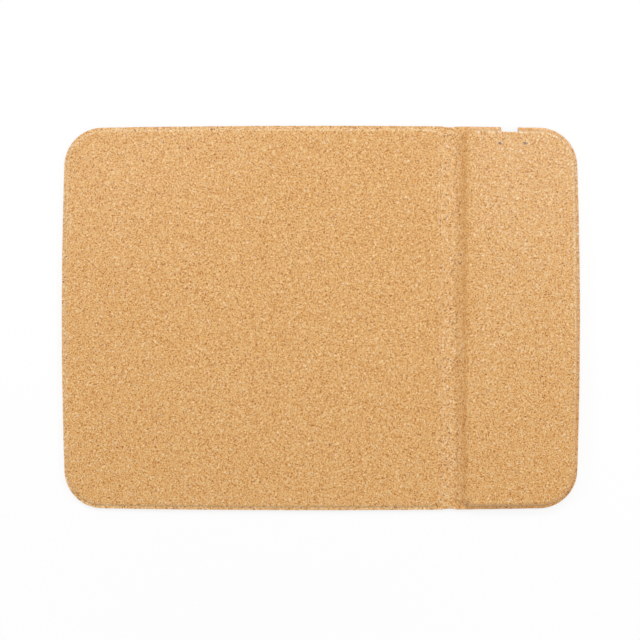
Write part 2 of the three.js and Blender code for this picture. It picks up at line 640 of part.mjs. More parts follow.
addPiece(chargerPanel, 'charger_cork_top', corkSheet.intersect(chargerSide), looks.cork);
addPiece(chargerPanel, 'charger_base_sheet', baseSheet.intersect(chargerSide), looks.base);
addPiece(chargerPanel, 'charger_tray', tray, looks.casePlastic);
addPiece(chargerPanel, 'charger_lid', lid, looks.casePlastic);
addPiece(chargerPanel, 'ferrite_plate', ferrite, looks.ferrite);
addPiece(chargerPanel, 'ferrite_tape', tape, looks.tape);
addPiece(chargerPanel, 'charging_coil', coil, looks.copper);
addPiece(chargerPanel, 'circuit_board', plate(boardShape(), BOARD_UNDER, BOARD_TOP), looks.board);
addPiece(chargerPanel, 'usb_c_shell', portSolid(), looks.steel);
addPiece(
  chargerPanel,
  'usb_c_tongue',
  block(
    [PORT_X - TONGUE_W / 2, tongueBack, PORT_Z - TONGUE_H / 2],
    [PORT_X + TONGUE_W / 2, tongueBack + TONGUE_L, PORT_Z + TONGUE_H / 2],
  ),
  looks.chip,
);

LIGHT_XS.forEach((x, k) => {
  const side = ['left', 'right'][k];
  const pipe = addPiece(chargerPanel, `light_pipe_${side}`, pipeGeometry(), looks.lens);
  pipe.position.set(x, LIGHT_Y, 0);
  const led = new THREE.BoxGeometry(LED_W, LED_D, LED_H);
  const lamp = addPiece(chargerPanel, `led_${side}`, led, looks.ledWhite);
  lamp.position.set(x, LIGHT_Y, BOARD_TOP + LED_H / 2);
});

// Driver parts: name, size, place from the middle of the board's front edge, look
const endPartX = BOARD_W / 2 - END_PART_INSET;
const driverParts = [
  ['controller_chip', [5, 5, 0.9], [0, 12], looks.chip],
  ['bridge_chip_left', [3.3, 3.3, 0.9], [-7, 12], looks.chip],
  ['bridge_chip_right', [3.3, 3.3, 0.9], [7, 12], looks.chip],
  ['resonance_capacitor_1', [3.2, 2.5, 1.3], [-3, 6.5], looks.capacitor],
  ['resonance_capacitor_2', [3.2, 2.5, 1.3], [1, 6.5], looks.capacitor],
  ['resonance_capacitor_3', [3.2, 2.5, 1.3], [5, 6.5], looks.capacitor],
  ['resonance_capacitor_4', [3.2, 2.5, 1.3], [9, 6.5], looks.capacitor],
  ['input_capacitor_left', [1.6, 3.2, 1.3], [-endPartX, 15], looks.capacitor],
  ['input_capacitor_right', [1.6, 3.2, 1.3], [endPartX, 15], looks.capacitor],
  ['sense_resistor', [3.2, 1.6, 0.6], [1 - endPartX, 9], looks.chip],
];
for (const [name, [width, depth, height], [x, y], look] of driverParts) {
  const chip = addPiece(chargerPanel, name, new THREE.BoxGeometry(width, depth, height), look);
  chip.position.set(BOARD_X + x, BOARD_FRONT + y, BOARD_TOP + height / 2);
}

export default mat;
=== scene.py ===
# %% [markdown]
# # A folding cork mat: mouse pad, fold and charging panel
#
# The real object is one sheet of pressed cork, bonded to a thin non-slip sheet. A stiff board under the
# cork raises the mouse pad, a flat plastic case raises the charging panel, and between the two only the
# sheets are left, so the mat folds there like a book. The measured solids come in first, and everything
# made here sits in their frame, in metres, with the desk at z = 0.

import json
import math

import bpy
import bmesh
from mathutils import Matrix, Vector, noise


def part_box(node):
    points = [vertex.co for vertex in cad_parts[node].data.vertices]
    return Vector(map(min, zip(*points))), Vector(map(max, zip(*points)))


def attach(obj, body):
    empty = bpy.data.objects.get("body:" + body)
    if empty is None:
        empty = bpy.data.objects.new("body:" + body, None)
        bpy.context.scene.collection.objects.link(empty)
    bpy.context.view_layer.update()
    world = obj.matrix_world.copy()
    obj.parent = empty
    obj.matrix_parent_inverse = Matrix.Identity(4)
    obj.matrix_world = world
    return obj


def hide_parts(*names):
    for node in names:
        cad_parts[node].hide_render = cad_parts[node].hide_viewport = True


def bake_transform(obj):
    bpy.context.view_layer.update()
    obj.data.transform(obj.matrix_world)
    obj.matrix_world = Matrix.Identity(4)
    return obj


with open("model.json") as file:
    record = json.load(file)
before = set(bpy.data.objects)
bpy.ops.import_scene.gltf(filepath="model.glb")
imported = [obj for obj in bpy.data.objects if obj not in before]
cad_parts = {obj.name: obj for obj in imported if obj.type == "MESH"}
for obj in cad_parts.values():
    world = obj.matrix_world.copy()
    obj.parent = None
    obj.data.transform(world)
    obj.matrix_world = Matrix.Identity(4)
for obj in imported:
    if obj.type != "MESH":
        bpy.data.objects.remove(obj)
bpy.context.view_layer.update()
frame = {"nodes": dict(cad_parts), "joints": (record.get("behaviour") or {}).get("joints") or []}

# %% [markdown]
# ## Sizes that the solids give
#
# The width, the depth, the heights and the two creases could be typed in again, but then they could drift
# away from the solids, so they are read from them. All lengths are noted in millimetres, because that is
# how a mat maker would note them, and they turn to metres only when a mesh is made.

# %% Read the sizes
MM = 0.001


def box_mm(node):
    """Lowest and highest corner of a measured solid, to a hundredth of a millimetre."""
    return [[round(value / MM, 2) for value in corner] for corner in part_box(node)]


pad_low, pad_high = box_mm("pad_cork_top")
panel_high = box_mm("charger_cork_top")[1]
MAT_W, MAT_D = panel_high[0] - pad_low[0], pad_high[1] - pad_low[1]
BASE_T, RIM_TOP = pad_low[2], box_mm("fold_cork_strip")[1][2]
PAD_TOP, CHARGER_TOP = pad_high[2], panel_high[2]
creases = {joint["name"]: round(joint["pos_m"][0] / MM, 2) for joint in frame["joints"]}
PAD_CREASE, CHARGER_CREASE = creases["pad_crease"], creases["charger_crease"]
print(f"mat {MAT_W} by {MAT_D} mm, tops at {RIM_TOP}, {PAD_TOP} and {CHARGER_TOP} mm")

# %% [markdown]
# ## Sizes of the pressed form
#
# The four edges of the mat aren't straight: each is a very wide arc, and a round corner joins two of them.
# Every other outline of the mat is that edge moved inwards. Where the cork climbs from the rim to a top,
# the step has a width, and its foot and its upper edge are each drawn out by a share of that width.

# %% Note the form
SIDE_BOW, END_BOW = 2.5, 1.6  # how far the middle of an edge stands out
CORNER_R = 23.0
RIM_W = 1.2  # flat edge all round, outside the steps
PAD_STEP, CHARGER_STEP, FOLD_STEP = (2.3, 0.4, 0.4), (3.0, 0.3, 0.3), (6.6, 0.52, 0.7)
FLAT_BEFORE, FLAT_AFTER = 1.4, 1.1  # flat cork between the steps and the creases
FOLD_LEFT, FOLD_RIGHT = PAD_CREASE - FLAT_BEFORE, CHARGER_CREASE + FLAT_AFTER
FOLD_WAIST = 0.5  # how far the ends of the fold draw in
BEND, WALL_BEND = 1.25, 0.6  # reach of a bend from its crease, and less of it under the charger's wall

SIDE_R = ((MAT_D / 2) ** 2 + SIDE_BOW**2) / (2 * SIDE_BOW)
END_R = ((MAT_W / 2) ** 2 + END_BOW**2) / (2 * END_BOW)
SIDE_X = MAT_W / 2 - SIDE_R
END_Y = MAT_D / 2 - END_R
print(f"edge arcs: sides {SIDE_R:.0f} mm, ends {END_R:.0f} mm")

# %% [markdown]
# ## The corners of an outline
#
# An outline's left and right sides either follow the edge of the mat or stand straight, as they do along
# the fold. A round corner touches both its side and the bowed end. Its centre could be found by trial, but
# two circles that touch have centres a known length apart, so a triangle gives it at once.

# %% Find a corner
def corner_of(side, way, extra):
    """Centre of a back corner and the angles at which its arc meets the side and the end."""
    end_reach = END_R - side["rim"] - side["r"]
    if "x" in side:
        x = side["x"] - way * (side["r"] + extra)
        y = END_Y + math.sqrt(end_reach**2 - x**2)
        side_angle = 0.0 if way > 0 else math.pi
    else:
        side_reach = SIDE_R - side["rim"] - side["r"]
        apart = math.hypot(SIDE_X, END_Y)
        turn = math.acos((side_reach**2 + apart**2 - end_reach**2) / (2 * side_reach * apart))
        towards = math.atan2(END_Y, -SIDE_X) + turn
        x = way * (SIDE_X + side_reach * math.cos(towards))
        y = side_reach * math.sin(towards)
        side_angle = math.atan2(y, x - way * SIDE_X)
    return x, y, side_angle, math.atan2(y - END_Y, x)


along_edge = {"r": CORNER_R, "rim": 0.0}
along_foot = {"r": CORNER_R - RIM_W, "rim": RIM_W}
print("corner centre, mm:", [round(value, 2) for value in corner_of(along_edge, 1, 0.0)[:2]])

# %% [markdown]
# ## Drawing an outline
#
# An outline is a ring of points that runs anticlockwise: a corner, a side, a corner, an end, and so on
# round. Every ring has the same number of points in the same order, so that two rings can be joined by a
# band of four-sided faces.

# %% Draw a ring
CORNER_STEPS, EDGE_STEPS = 20, 56


def arc(x, y, radius, start, end, steps):
    turns = [start + (end - start) * k / steps for k in range(steps + 1)]
    return [(x + radius * math.cos(a), y + radius * math.sin(a)) for a in turns]


def ring(left, right, inset=0.0, fold_inset=None):
    """Points of an outline, moved inwards by inset, or by fold_inset on a straight side."""
    extra = 0.0 if fold_inset is None else fold_inset - inset
    rx, ry, r_side, r_end = corner_of(right, 1, extra)
    lx, ly, l_side, l_end = corner_of(left, -1, extra)
    r_round, l_round = right["r"] - inset, left["r"] - inset
    end_round = END_R - right["rim"] - inset
    corners = [
        arc(rx, -ry, r_round, -r_end, -r_side, CORNER_STEPS),
        arc(rx, ry, r_round, r_side, r_end, CORNER_STEPS),
        arc(lx, ly, l_round, l_end, l_side, CORNER_STEPS),
        arc(lx, -ly, l_round, 2 * math.pi - l_side, 2 * math.pi - l_end, CORNER_STEPS),
    ]
    edges = []
    for way, side, angle, (mid, y) in ((1, right, r_side, (rx, ry)), (-1, left, l_side, (lx, ly))):
        if "x" in side:
            x = mid + way * (side["r"] - inset)
            edges.append([(x, way * y * (2 * k / EDGE_STEPS - 1)) for k in range(EDGE_STEPS + 1)])
        else:
            half = angle if way > 0 else math.pi - angle
            middle = 0.0 if way > 0 else math.pi
            radius = SIDE_R - side["rim"] - inset
            edges.append(arc(way * SIDE_X, 0, radius, middle - half, middle + half, EDGE_STEPS))
    back = arc(0, END_Y, end_round, r_end, l_end, 2 * EDGE_STEPS)
    front = arc(0, -END_Y, end_round, -l_end, -r_end, 2 * EDGE_STEPS)
    runs = [corners[0], edges[0], corners[1], back, corners[2], edges[1], corners[3], front]
    return [p for k, run in enumerate(runs) for p in (run if k % 2 == 0 else run[1:-1])]


whole = ring(along_edge, along_edge)
print("points in a ring:", len(whole), "width", round(max(p[0] for p in whole) * 2, 2), "mm")

# %% [markdown]
# ## From rings to a closed piece
#
# Stacked rings, joined in order and closed by a face at each end, make a skin with no gap in it. It could
# also be extruded and bevelled, but rings give each height its own outline, which is what a sheet pressed
# over a board needs. Edges that turn by more than a set angle stay sharp, and the rest is shaded smooth. A
# broad flat face with a small round at its edge needs a smaller angle, or its shading runs in streaks.

# %% Join rings
CRISP, CRISP_FLAT = 35, 15  # degrees


def shade(piece, crisp=CRISP):
    piece.data.shade_smooth()
    piece.data.set_sharp_from_angle(angle=math.radians(crisp))


def at_height(points, z):
    return [(x, y, z) for x, y in points]


def lofted(name, rings, crisp=CRISP):
    count = len(rings[0])
    points = [Vector(p) * MM for each in rings for p in each]
    faces = []
    for level in range(len(rings) - 1):
        for k in range(count):
            a, b = level * count + k, level * count + (k + 1) % count
            faces.append((a, b, b + count, a + count))
    faces.append(tuple(range(count))[::-1])
    faces.append(tuple(range((len(rings) - 1) * count, len(rings) * count)))
    mesh = bpy.data.meshes.new(name)
    mesh.from_pydata(points, [], faces)
    skin = bmesh.new()
    skin.from_mesh(mesh)
    bmesh.ops.recalc_face_normals(skin, faces=skin.faces)
    skin.to_mesh(mesh)
    skin.free()
    piece = bpy.data.objects.new(name, mesh)
    bpy.context.collection.objects.link(piece)
    shade(piece, crisp)
    return piece


print("faces in one band:", len(whole), "sharp from", CRISP, "degrees, on flat sheets from", CRISP_FLAT)

# %% [markdown]
# ## Edges that wander
#
# A press tool and a knife are never perfect: the foot of a step wanders by about a tenth of a millimetre
# and so does the cut edge. Random points would look ragged, so a smooth noise in two sizes moves them. The
# side at the fold stays straight, because it has to meet the next piece.

# %% Let an outline wander
FOOT_WANDER, CUT_WANDER = 0.12, 0.08
LONG_WAVES, SHORT_WAVES = 0.11, 0.43  # waves in a millimetre
OTHER_SEED = 7  # keeps the two sizes of wave apart
TOUCH = 0.001  # a point nearer than this lies on the side at the fold


def at_fold(x, side_x):
    return side_x is not None and abs(x - side_x) < TOUCH


def wandering(points, amount, seed, side_x=None):
    """Moves each point of a ring in or out by a smooth random length, but none on the side at the fold."""
    moved = []
    for k, (x, y) in enumerate(points):
        if at_fold(x, side_x):
            moved.append((x, y))
            continue
        ahead, behind = points[(k + 1) % len(points)], points[k - 1]
        way = Vector((ahead[1] - behind[1], behind[0] - ahead[0]))
        way.normalize()
        off = amount * noise.noise(Vector((x * LONG_WAVES, y * LONG_WAVES, seed)))
        off += 0.5 * amount * noise.noise(Vector((x * SHORT_WAVES, y * SHORT_WAVES, seed + OTHER_SEED)))
        moved.append((x + way.x * off, y + way.y * off))
    return moved


shifts = [math.dist(a, b) for a, b in zip(whole, wandering(whole, CUT_WANDER, 0.0))]
print("widest wander of a cut:", round(max(shifts), 3), "mm")

# %% [markdown]
# ## The cork over the mouse pad and the charger
#
# The sheet is pressed warm over the board and the case, so it climbs in a soft S from the rim to the top.
# A bevel would give a plain round, so the S is drawn ring by ring. Outside the step lies the flat rim,
# whose cut edge is slightly rounded. Underneath, the sheet is hollow where the board or the case sits.

# %% Shape the sheet
STEP_RINGS = 14
PLATEAU = 1.2  # from the step to the first ring of the flat top
CUT_SEED = 3  # keeps the wander of the cut apart from that of the foot
# Each ring of the rim: its share of the way from the foot to the cut edge, and how far down it lies
RIM_RINGS = ((0.3, 0.0), (0.85, 0.0), (0.93, 0.0), (0.98, 0.05), (1.0, 0.2), (1.0, RIM_TOP - BASE_T))


def across_step(step, share):
    """How far in the step lies at a share of its curve, drawn out at its foot and its upper edge."""
    width, foot_pull, top_pull = step
    rest = 1 - share
    return width * (3 * foot_pull * share * rest**2 + 3 * top_pull * share**2 * rest + share**3)


def pressed_cork_piece(name, foot, edge, steps, top, hollow, seed):
    """One pressed sheet: foot and edge are (left, right) outlines of the step's foot and of the sheet."""
    rise = top - RIM_TOP
    rings = [at_height(ring(*foot, *(step[0] + PLATEAU for step in steps)), top)]
    for k in range(STEP_RINGS, -1, -1):
        share = k / STEP_RINGS
        points = ring(*foot, *(across_step(step, share) for step in steps))
        points = wandering(points, FOOT_WANDER * (1 - share), seed)
        rings.append(at_height(points, RIM_TOP + rise * share * share * (3 - 2 * share)))
    side_x = next(side["x"] for side in edge if "x" in side)
    foot_points, cut = rings[-1], wandering(ring(*edge), CUT_WANDER, seed + CUT_SEED, side_x)
    for share, sunk in RIM_RINGS:
        level = []
        for (ax, ay, _), (bx, by) in zip(foot_points, cut):
            z = RIM_TOP if at_fold(bx, side_x) and sunk < RIM_TOP - BASE_T else RIM_TOP - sunk
            level.append((ax + (bx - ax) * share, ay + (by - ay) * share, z))
        rings.append(level)
    inset, fold_inset, roof = hollow
    rings.append(at_height(ring(*foot, inset, fold_inset), BASE_T))
    rings.append(at_height(ring(*foot, inset, fold_inset), roof))
    return lofted(name, rings)


print("rings in a sheet:", 1 + STEP_RINGS + 1 + len(RIM_RINGS) + 2)

# %% [markdown]
# ## Pressing the two sheets
#
# Each sheet needs the outline of its step's foot, the outline of its edge and the hollow under it. The
# hollow is the board or the case of the measured solids with a small fit round it. Next to the fold the
# charger's step is wider than elsewhere, because the case stands further back there.

# %% Press the cork
HOLLOW_FIT = 0.1
PAD_FOLD_R, CHARGER_FOLD_R, CREASE_R = 6.0, 6.1, 0.25  # corners next to the fold

core_low, core_high = box_mm("pad_core_board")
lid_low, lid_high = box_mm("charger_lid")
pad_hollow = (
    round(core_low[0] - pad_low[0] - RIM_W - HOLLOW_FIT, 2),
    round(FOLD_LEFT - core_high[0] - HOLLOW_FIT, 2),
    core_high[2],
)
charger_hollow = (
    round(panel_high[0] - RIM_W - lid_high[0] - HOLLOW_FIT, 2),
    round(lid_low[0] - FOLD_RIGHT - HOLLOW_FIT, 2),
    lid_high[2],
)

pad_foot = (along_foot, {"x": FOLD_LEFT, "r": PAD_FOLD_R, "rim": RIM_W})
pad_edge = (along_edge, {"x": PAD_CREASE - BEND, "r": CREASE_R, "rim": 0.0})
charger_foot = ({"x": FOLD_RIGHT, "r": CHARGER_FOLD_R, "rim": RIM_W}, along_foot)
charger_edge = ({"x": CHARGER_CREASE + WALL_BEND, "r": CREASE_R, "rim": 0.0}, along_edge)
pad_steps, charger_steps = (PAD_STEP, PAD_STEP), (CHARGER_STEP, FOLD_STEP)

pad_cork = pressed_cork_piece("pad_cork", pad_foot, pad_edge, pad_steps, PAD_TOP, pad_hollow, 1.0)
charger_cork = pressed_cork_piece(
    "charger_cork", charger_foot, charger_edge, charger_steps, CHARGER_TOP, charger_hollow, 20.0
)
print("hollows:", pad_hollow, charger_hollow)
print("cork faces:", len(pad_cork.data.polygons), len(charger_cork.data.polygons))

# %% [markdown]
# ## The notch and the two pinholes
#
# A plug reaches its port through a notch in the back edge, and two lights shine through pinholes. Both are
# punched after pressing, so a boolean cut with the punch's own shape is the natural way to make them. The
# port and the two clear pins of the measured solids say where.

# %% Punch the cork
NOTCH_W, NOTCH_R = 10.3, 0.8
PORT_RECESS = 0.2  # the port's mouth lies this far behind the notch
PINHOLE_R = 0.85
PAST_EDGE = 10.0  # the punch reaches this far beyond the mat
RIGHT_THROUGH, TOP_SKIN = (-2.0, 12.0), (5.0, 8.0)  # heights between which a punch cuts
NOTCH_STEPS, HOLE_STEPS = 8, 28


def punch(piece, shape, heights, crisp=CRISP):
    """Cuts a piece with an upright punch whose outline is a ring of points."""
    tool = lofted("punch", [at_height(shape, z) for z in heights])
    cut = piece.modifiers.new("punch", "BOOLEAN")
    cut.object, cut.operation, cut.solver = tool, "DIFFERENCE", "EXACT"
    ready = piece.evaluated_get(bpy.context.evaluated_depsgraph_get())
    punched = bpy.data.meshes.new_from_object(ready)
    piece.modifiers.clear()
    piece.data = punched
    bpy.data.objects.remove(tool)
    shade(piece, crisp)


def middle_of(node):
    return [round((low + high) / 2, 2) for low, high in zip(*box_mm(node))]


port_x, notch_y = middle_of("usb_c_shell")[0], round(box_mm("usb_c_shell")[1][1] + PORT_RECESS, 2)
notch_left, notch_right, notch_end = port_x - NOTCH_W / 2, port_x + NOTCH_W / 2, MAT_D / 2 + PAST_EDGE
round_y = notch_y + NOTCH_R
notch = arc(notch_right - NOTCH_R, round_y, NOTCH_R, 1.5 * math.pi, 2 * math.pi, NOTCH_STEPS)
notch += [(notch_right, notch_end), (notch_left, notch_end)]
notch += arc(notch_left + NOTCH_R, round_y, NOTCH_R, math.pi, 1.5 * math.pi, NOTCH_STEPS)
punch(charger_cork, notch, RIGHT_THROUGH)
for pin in ("light_pipe_left", "light_pipe_right"):
    x, y, _ = middle_of(pin)
    punch(charger_cork, arc(x, y, PINHOLE_R, 0, 2 * math.pi, HOLE_STEPS)[:-1], TOP_SKIN)
print("notch at", port_x, notch_y, "mm, punched cork faces:", len(charger_cork.data.polygons))

# %% [markdown]
# ## The fold
#
# Between the two raised parts the sheet runs on flat, slightly drawn in at both ends, and bends at two
# creases. It is made in two halves, because a bend joins two moving parts and the strip has three: pad,
# strip, charger. Each half is a row of thin slices across the crease, so that it can curve.

# %% Lay the fold
MIDDLE = (PAD_CREASE + CHARGER_CREASE) / 2
SLICES, ROWS = 22, 72
EDGE_ROUND = ((0.0, 0.2), (0.06, 0.06), (0.2, 0.0))  # each point of a rounded edge: how far in, how deep


def end_of_fold(x):
    """How far from the middle the strip ends, at a place across the fold."""
    share = min(max((x - FOLD_LEFT) / (FOLD_RIGHT - FOLD_LEFT), 0), 1)
    return END_Y + math.sqrt(END_R**2 - x**2) - FOLD_WAIST * 4 * share * (1 - share)


def strip(name, start, end, back, face):
    """A flat strip whose ends are slightly rounded towards its face."""
    way = 1 if face > back else -1
    low, mid, high = [(inset, face - way * deep) for inset, deep in EDGE_ROUND]
    rings = []
    for k in range(SLICES + 1):
        x = start + (end - start) * k / SLICES
        y = end_of_fold(x)
        across = [(y - high[0]) * (2 * j / ROWS - 1) for j in range(ROWS + 1)]
        around = [(x, -y, back), (x, -y, low[1]), (x, -y + mid[0], mid[1])]
        around += [(x, each, face) for each in across]
        around += [(x, y - mid[0], mid[1]), (x, y, low[1]), (x, y, back)]
        rings.append(around + [(x, each, back) for each in across[::-1]])
    return lofted(name, rings)


left_cork = strip("fold_cork_left", PAD_CREASE - BEND, MIDDLE, BASE_T, RIM_TOP)
right_cork = strip("fold_cork_right", MIDDLE, CHARGER_CREASE + WALL_BEND, BASE_T, RIM_TOP)
print("fold strip:", round(CHARGER_CREASE - PAD_CREASE, 2), "mm between the creases")

# %% [markdown]
# ## The sheet underneath
#
# A thin non-slip sheet runs under the whole mat and is cut flush with the cork. It could be one piece, but
# it has to bend with the cork, so it has the same parts. Its lower edge is slightly rounded by the knife.

# %% Lay the sheet underneath
def base_piece(name, edge, seed):
    """One part of the sheet; a straight side, which lies at the fold, isn't drawn in."""
    side_x = next(side["x"] for side in edge if "x" in side)
    rings = []
    for inset, z in ((0.0, BASE_T), *EDGE_ROUND):
        rings.append(at_height(wandering(ring(*edge, inset, 0.0), CUT_WANDER, seed, side_x), z))
    return lofted(name, rings, CRISP_FLAT)


pad_base = base_piece("pad_base", pad_edge, 4.0)
charger_base = base_piece("charger_base", charger_edge, 23.0)
punch(charger_base, notch, RIGHT_THROUGH, CRISP_FLAT)
left_base = strip("fold_base_left", PAD_CREASE - BEND, MIDDLE, BASE_T, 0.0)
right_base = strip("fold_base_right", MIDDLE, CHARGER_CREASE + WALL_BEND, BASE_T, 0.0)
print("base faces:", len(pad_base.data.polygons), len(charger_base.data.polygons))

# %% [markdown]
# ## Finishes: one way to add a node
#
# Colours are noted as they look on a screen, and one function turns them into the linear values that light
# works with. One small function adds a node, sets it and links it. Patterns are placed by the object's own
# coordinates, which are metres here, so a pattern of size s millimetres has a scale of 1000 / s.

# %% Set up the finishes
def hex_colour(code):
    parts = [int(code[k : k + 2], 16) / 255 for k in (0, 2, 4)]
    return tuple(c / 12.92 if c <= 0.04045 else ((c + 0.055) / 1.055) ** 2.4 for c in parts) + (1.0,)


def add(tree, kind, inputs=None, stops=None, **settings):
    made = tree.nodes.new("ShaderNode" + kind)
    for name, value in settings.items():
        setattr(made, name, value)
    for name, value in (inputs or {}).items():
        if isinstance(value, bpy.types.NodeSocket):
            tree.links.new(value, made.inputs[name])
        else:
            made.inputs[name].default_value = value
    for k, (place, colour) in enumerate(stops or []):
        points = made.color_ramp.elements
        point = points[k] if k < len(points) else points.new(place)
        point.position, point.color = place, hex_colour(colour)
    return made


def finish_named(name):
    """A new material: its tree, its shader and the place of each point on the object."""
    made = bpy.data.materials.new(name)
    made.use_nodes = True
    tree = made.node_tree
    shader = tree.nodes["Principled BSDF"]
    place = add(tree, "TexCoord").outputs["Object"]
    return made, tree, shader, place


def per_mm(size):
    return 1 / (size * MM)


print("a middle grey on a screen, linear:", [round(c, 3) for c in hex_colour("808080")[:3]])

# %% [markdown]
# ## Pressed cork: the crumbs
#
# The sheet is agglomerated cork: ground bark, pressed with a binder and sliced. Each crumb is about two
# millimetres across, with smaller bits in it. Between them lie pale flecks and dark specks of outer bark. A
# cell pattern for each kind gives their places. Its straight cell walls would show, so the place of each
# point is first pushed about by a noise, which tears the outlines.

# %% Tear and sort the crumbs
CRUMB_SIZES = {"crumb": 2.4, "bit": 0.7, "pale": 2.3, "bark": 2.7}  # millimetres from one to the next
TEAR_SIZE, TEAR_REACH = 2.2, 1.2


def torn_place(tree, place):
    """The place of each point, pushed about so that no crumb has a straight side."""
    tear = add(tree, "TexNoise", {"Vector": place, "Scale": per_mm(TEAR_SIZE), "Detail": 1.0})
    push = add(tree, "VectorMath", {0: tear.outputs["Color"], 1: (0.5, 0.5, 0.5)}, operation="SUBTRACT")
    shift = add(tree, "VectorMath", {0: push.outputs[0], "Scale": TEAR_REACH * MM}, operation="SCALE")
    return add(tree, "VectorMath", {0: place, 1: shift.outputs[0]}, operation="ADD").outputs[0]


def sorted_crumbs(tree, torn):
    """For each kind of crumb, the random numbers that it keeps and how far off its middle is."""
    lots, from_middle = {}, {}
    for kind, size in CRUMB_SIZES.items():
        cells = add(tree, "TexVoronoi", {"Vector": torn, "Scale": per_mm(size)})
        lots[kind] = add(tree, "SeparateColor", {"Color": cells.outputs["Color"]}).outputs
        from_middle[kind] = cells.outputs["Distance"]
    return lots, from_middle


print("crumbs, mm:", CRUMB_SIZES)

# %% [markdown]
# ## Pressed cork: the grain in each crumb
#
# A crumb keeps the direction in which its bark grew, which shows as fine streaks. Turning the pattern in
# each crumb by its own angle would tear it at every seam, so three streaked patterns at different angles
# cover the whole sheet, and the crumb's random number picks one of them.

# %% Streak the crumbs
STREAK_W, STREAK_LENGTH = 0.54, 2.3  # width in millimetres, and length as a multiple of it
STREAK_TURNS = (0.35, 1.4, 2.45)  # radians
TURN_SHARES = (0.36, 0.68)  # random numbers above which the next angle is picked


def streaked_grain(tree, torn, lots):
    streaks = []
    for turn in STREAK_TURNS:
        along = {"Vector": torn, "Rotation": (0, 0, turn), "Scale": (1.0, STREAK_LENGTH, 1.0)}
        turned = add(tree, "Mapping", along, vector_type="TEXTURE").outputs[0]
        streak = add(tree, "TexNoise", {"Vector": turned, "Scale": per_mm(STREAK_W), "Detail": 0.5})
        streaks.append(streak.outputs["Fac"])
    grain = streaks[0]
    for share, streak in zip(TURN_SHARES, streaks[1:]):
        picked = add(tree, "Math", {0: lots["crumb"]["Green"], 1: share}, operation="GREATER_THAN")
        grain = add(tree, "Mix", {"Factor": picked.outputs[0], 2: grain, 3: streak}).outputs[0]
    return grain


print("streaks:", len(STREAK_TURNS), "angles,", STREAK_W, "mm wide")

# %% [markdown]
# ## Pressed cork: its colours
#
# Most of the tone comes from the grain, a little from the bits and hardly any from whole crumbs, as the
# sheet looks even from a step away. The tone then picks a brown from a row of five. One crumb in four holds
# a pale fleck, and each bit leans slightly towards red or grey.

# %% Colour the crumbs
CORK_BROWNS = [(0.1, "904F14"), (0.32, "CC8C40"), (0.5, "DDA561"), (0.68, "E4B878"), (0.9, "F0D3A2")]
PALE_FLECK, DARK_BARK = "FBE6C4", "84430E"
CRUMB_WEIGHT, BIT_WEIGHT, GRAIN_WEIGHT = 0.02, 0.16, 1.42
BIT_LEAN = (-0.05, 0.0, 0.04)


def crumb_colour(tree, lots, from_middle, grain):
    tone = 0.5
    weights = [(lots["crumb"]["Red"], CRUMB_WEIGHT), (lots["bit"]["Red"], BIT_WEIGHT), (grain, GRAIN_WEIGHT)]
    for value, weight in weights:
        part = add(tree, "Math", {0: value, 1: 0.5}, operation="SUBTRACT").outputs[0]
        tone = add(tree, "Math", {0: part, 1: weight, 2: tone}, operation="MULTIPLY_ADD").outputs[0]
    body = add(tree, "ValToRGB", {"Fac": tone}, stops=CORK_BROWNS).outputs["Color"]
    chosen = add(tree, "Math", {0: lots["pale"]["Red"], 1: 0.75}, operation="GREATER_THAN")
    near = add(tree, "MapRange", {"Value": from_middle["pale"], 1: 0.14, 2: 0.36, 3: 0.42, 4: 0.0})
    fleck = add(tree, "Math", {0: chosen.outputs[0], 1: near.outputs[0]}, operation="MULTIPLY")
    flecked = add(tree, "Mix", {0: fleck.outputs[0], 6: body, 7: hex_colour(PALE_FLECK)}, data_type="RGBA")
    lean = add(tree, "Math", {0: lots["bit"]["Blue"], 1: 0.5}, operation="SUBTRACT")
    leaning = {0: lean.outputs[0], 1: BIT_LEAN, 2: flecked.outputs[2]}
    return add(tree, "VectorMath", leaning, operation="MULTIPLY_ADD").outputs[0]


def with_bark(tree, lots, from_middle, colour):
    chosen = add(tree, "MapRange", {"Value": lots["bark"]["Blue"], 1: 0.66, 2: 0.9, 3: 0.0, 4: 0.85})
    near = add(tree, "MapRange", {"Value": from_middle["bark"], 1: 0.14, 2: 0.31, 3: 1.0, 4: 0.0})
    speck = add(tree, "Math", {0: chosen.outputs[0], 1: near.outputs[0]}, operation="MULTIPLY")
    both = {0: speck.outputs[0], 6: colour, 7: hex_colour(DARK_BARK)}
    return add(tree, "Mix", both, data_type="RGBA").outputs[2]


print("cork's middle brown, linear:", [round(c, 3) for c in hex_colour(CORK_BROWNS[2][1])[:3]])
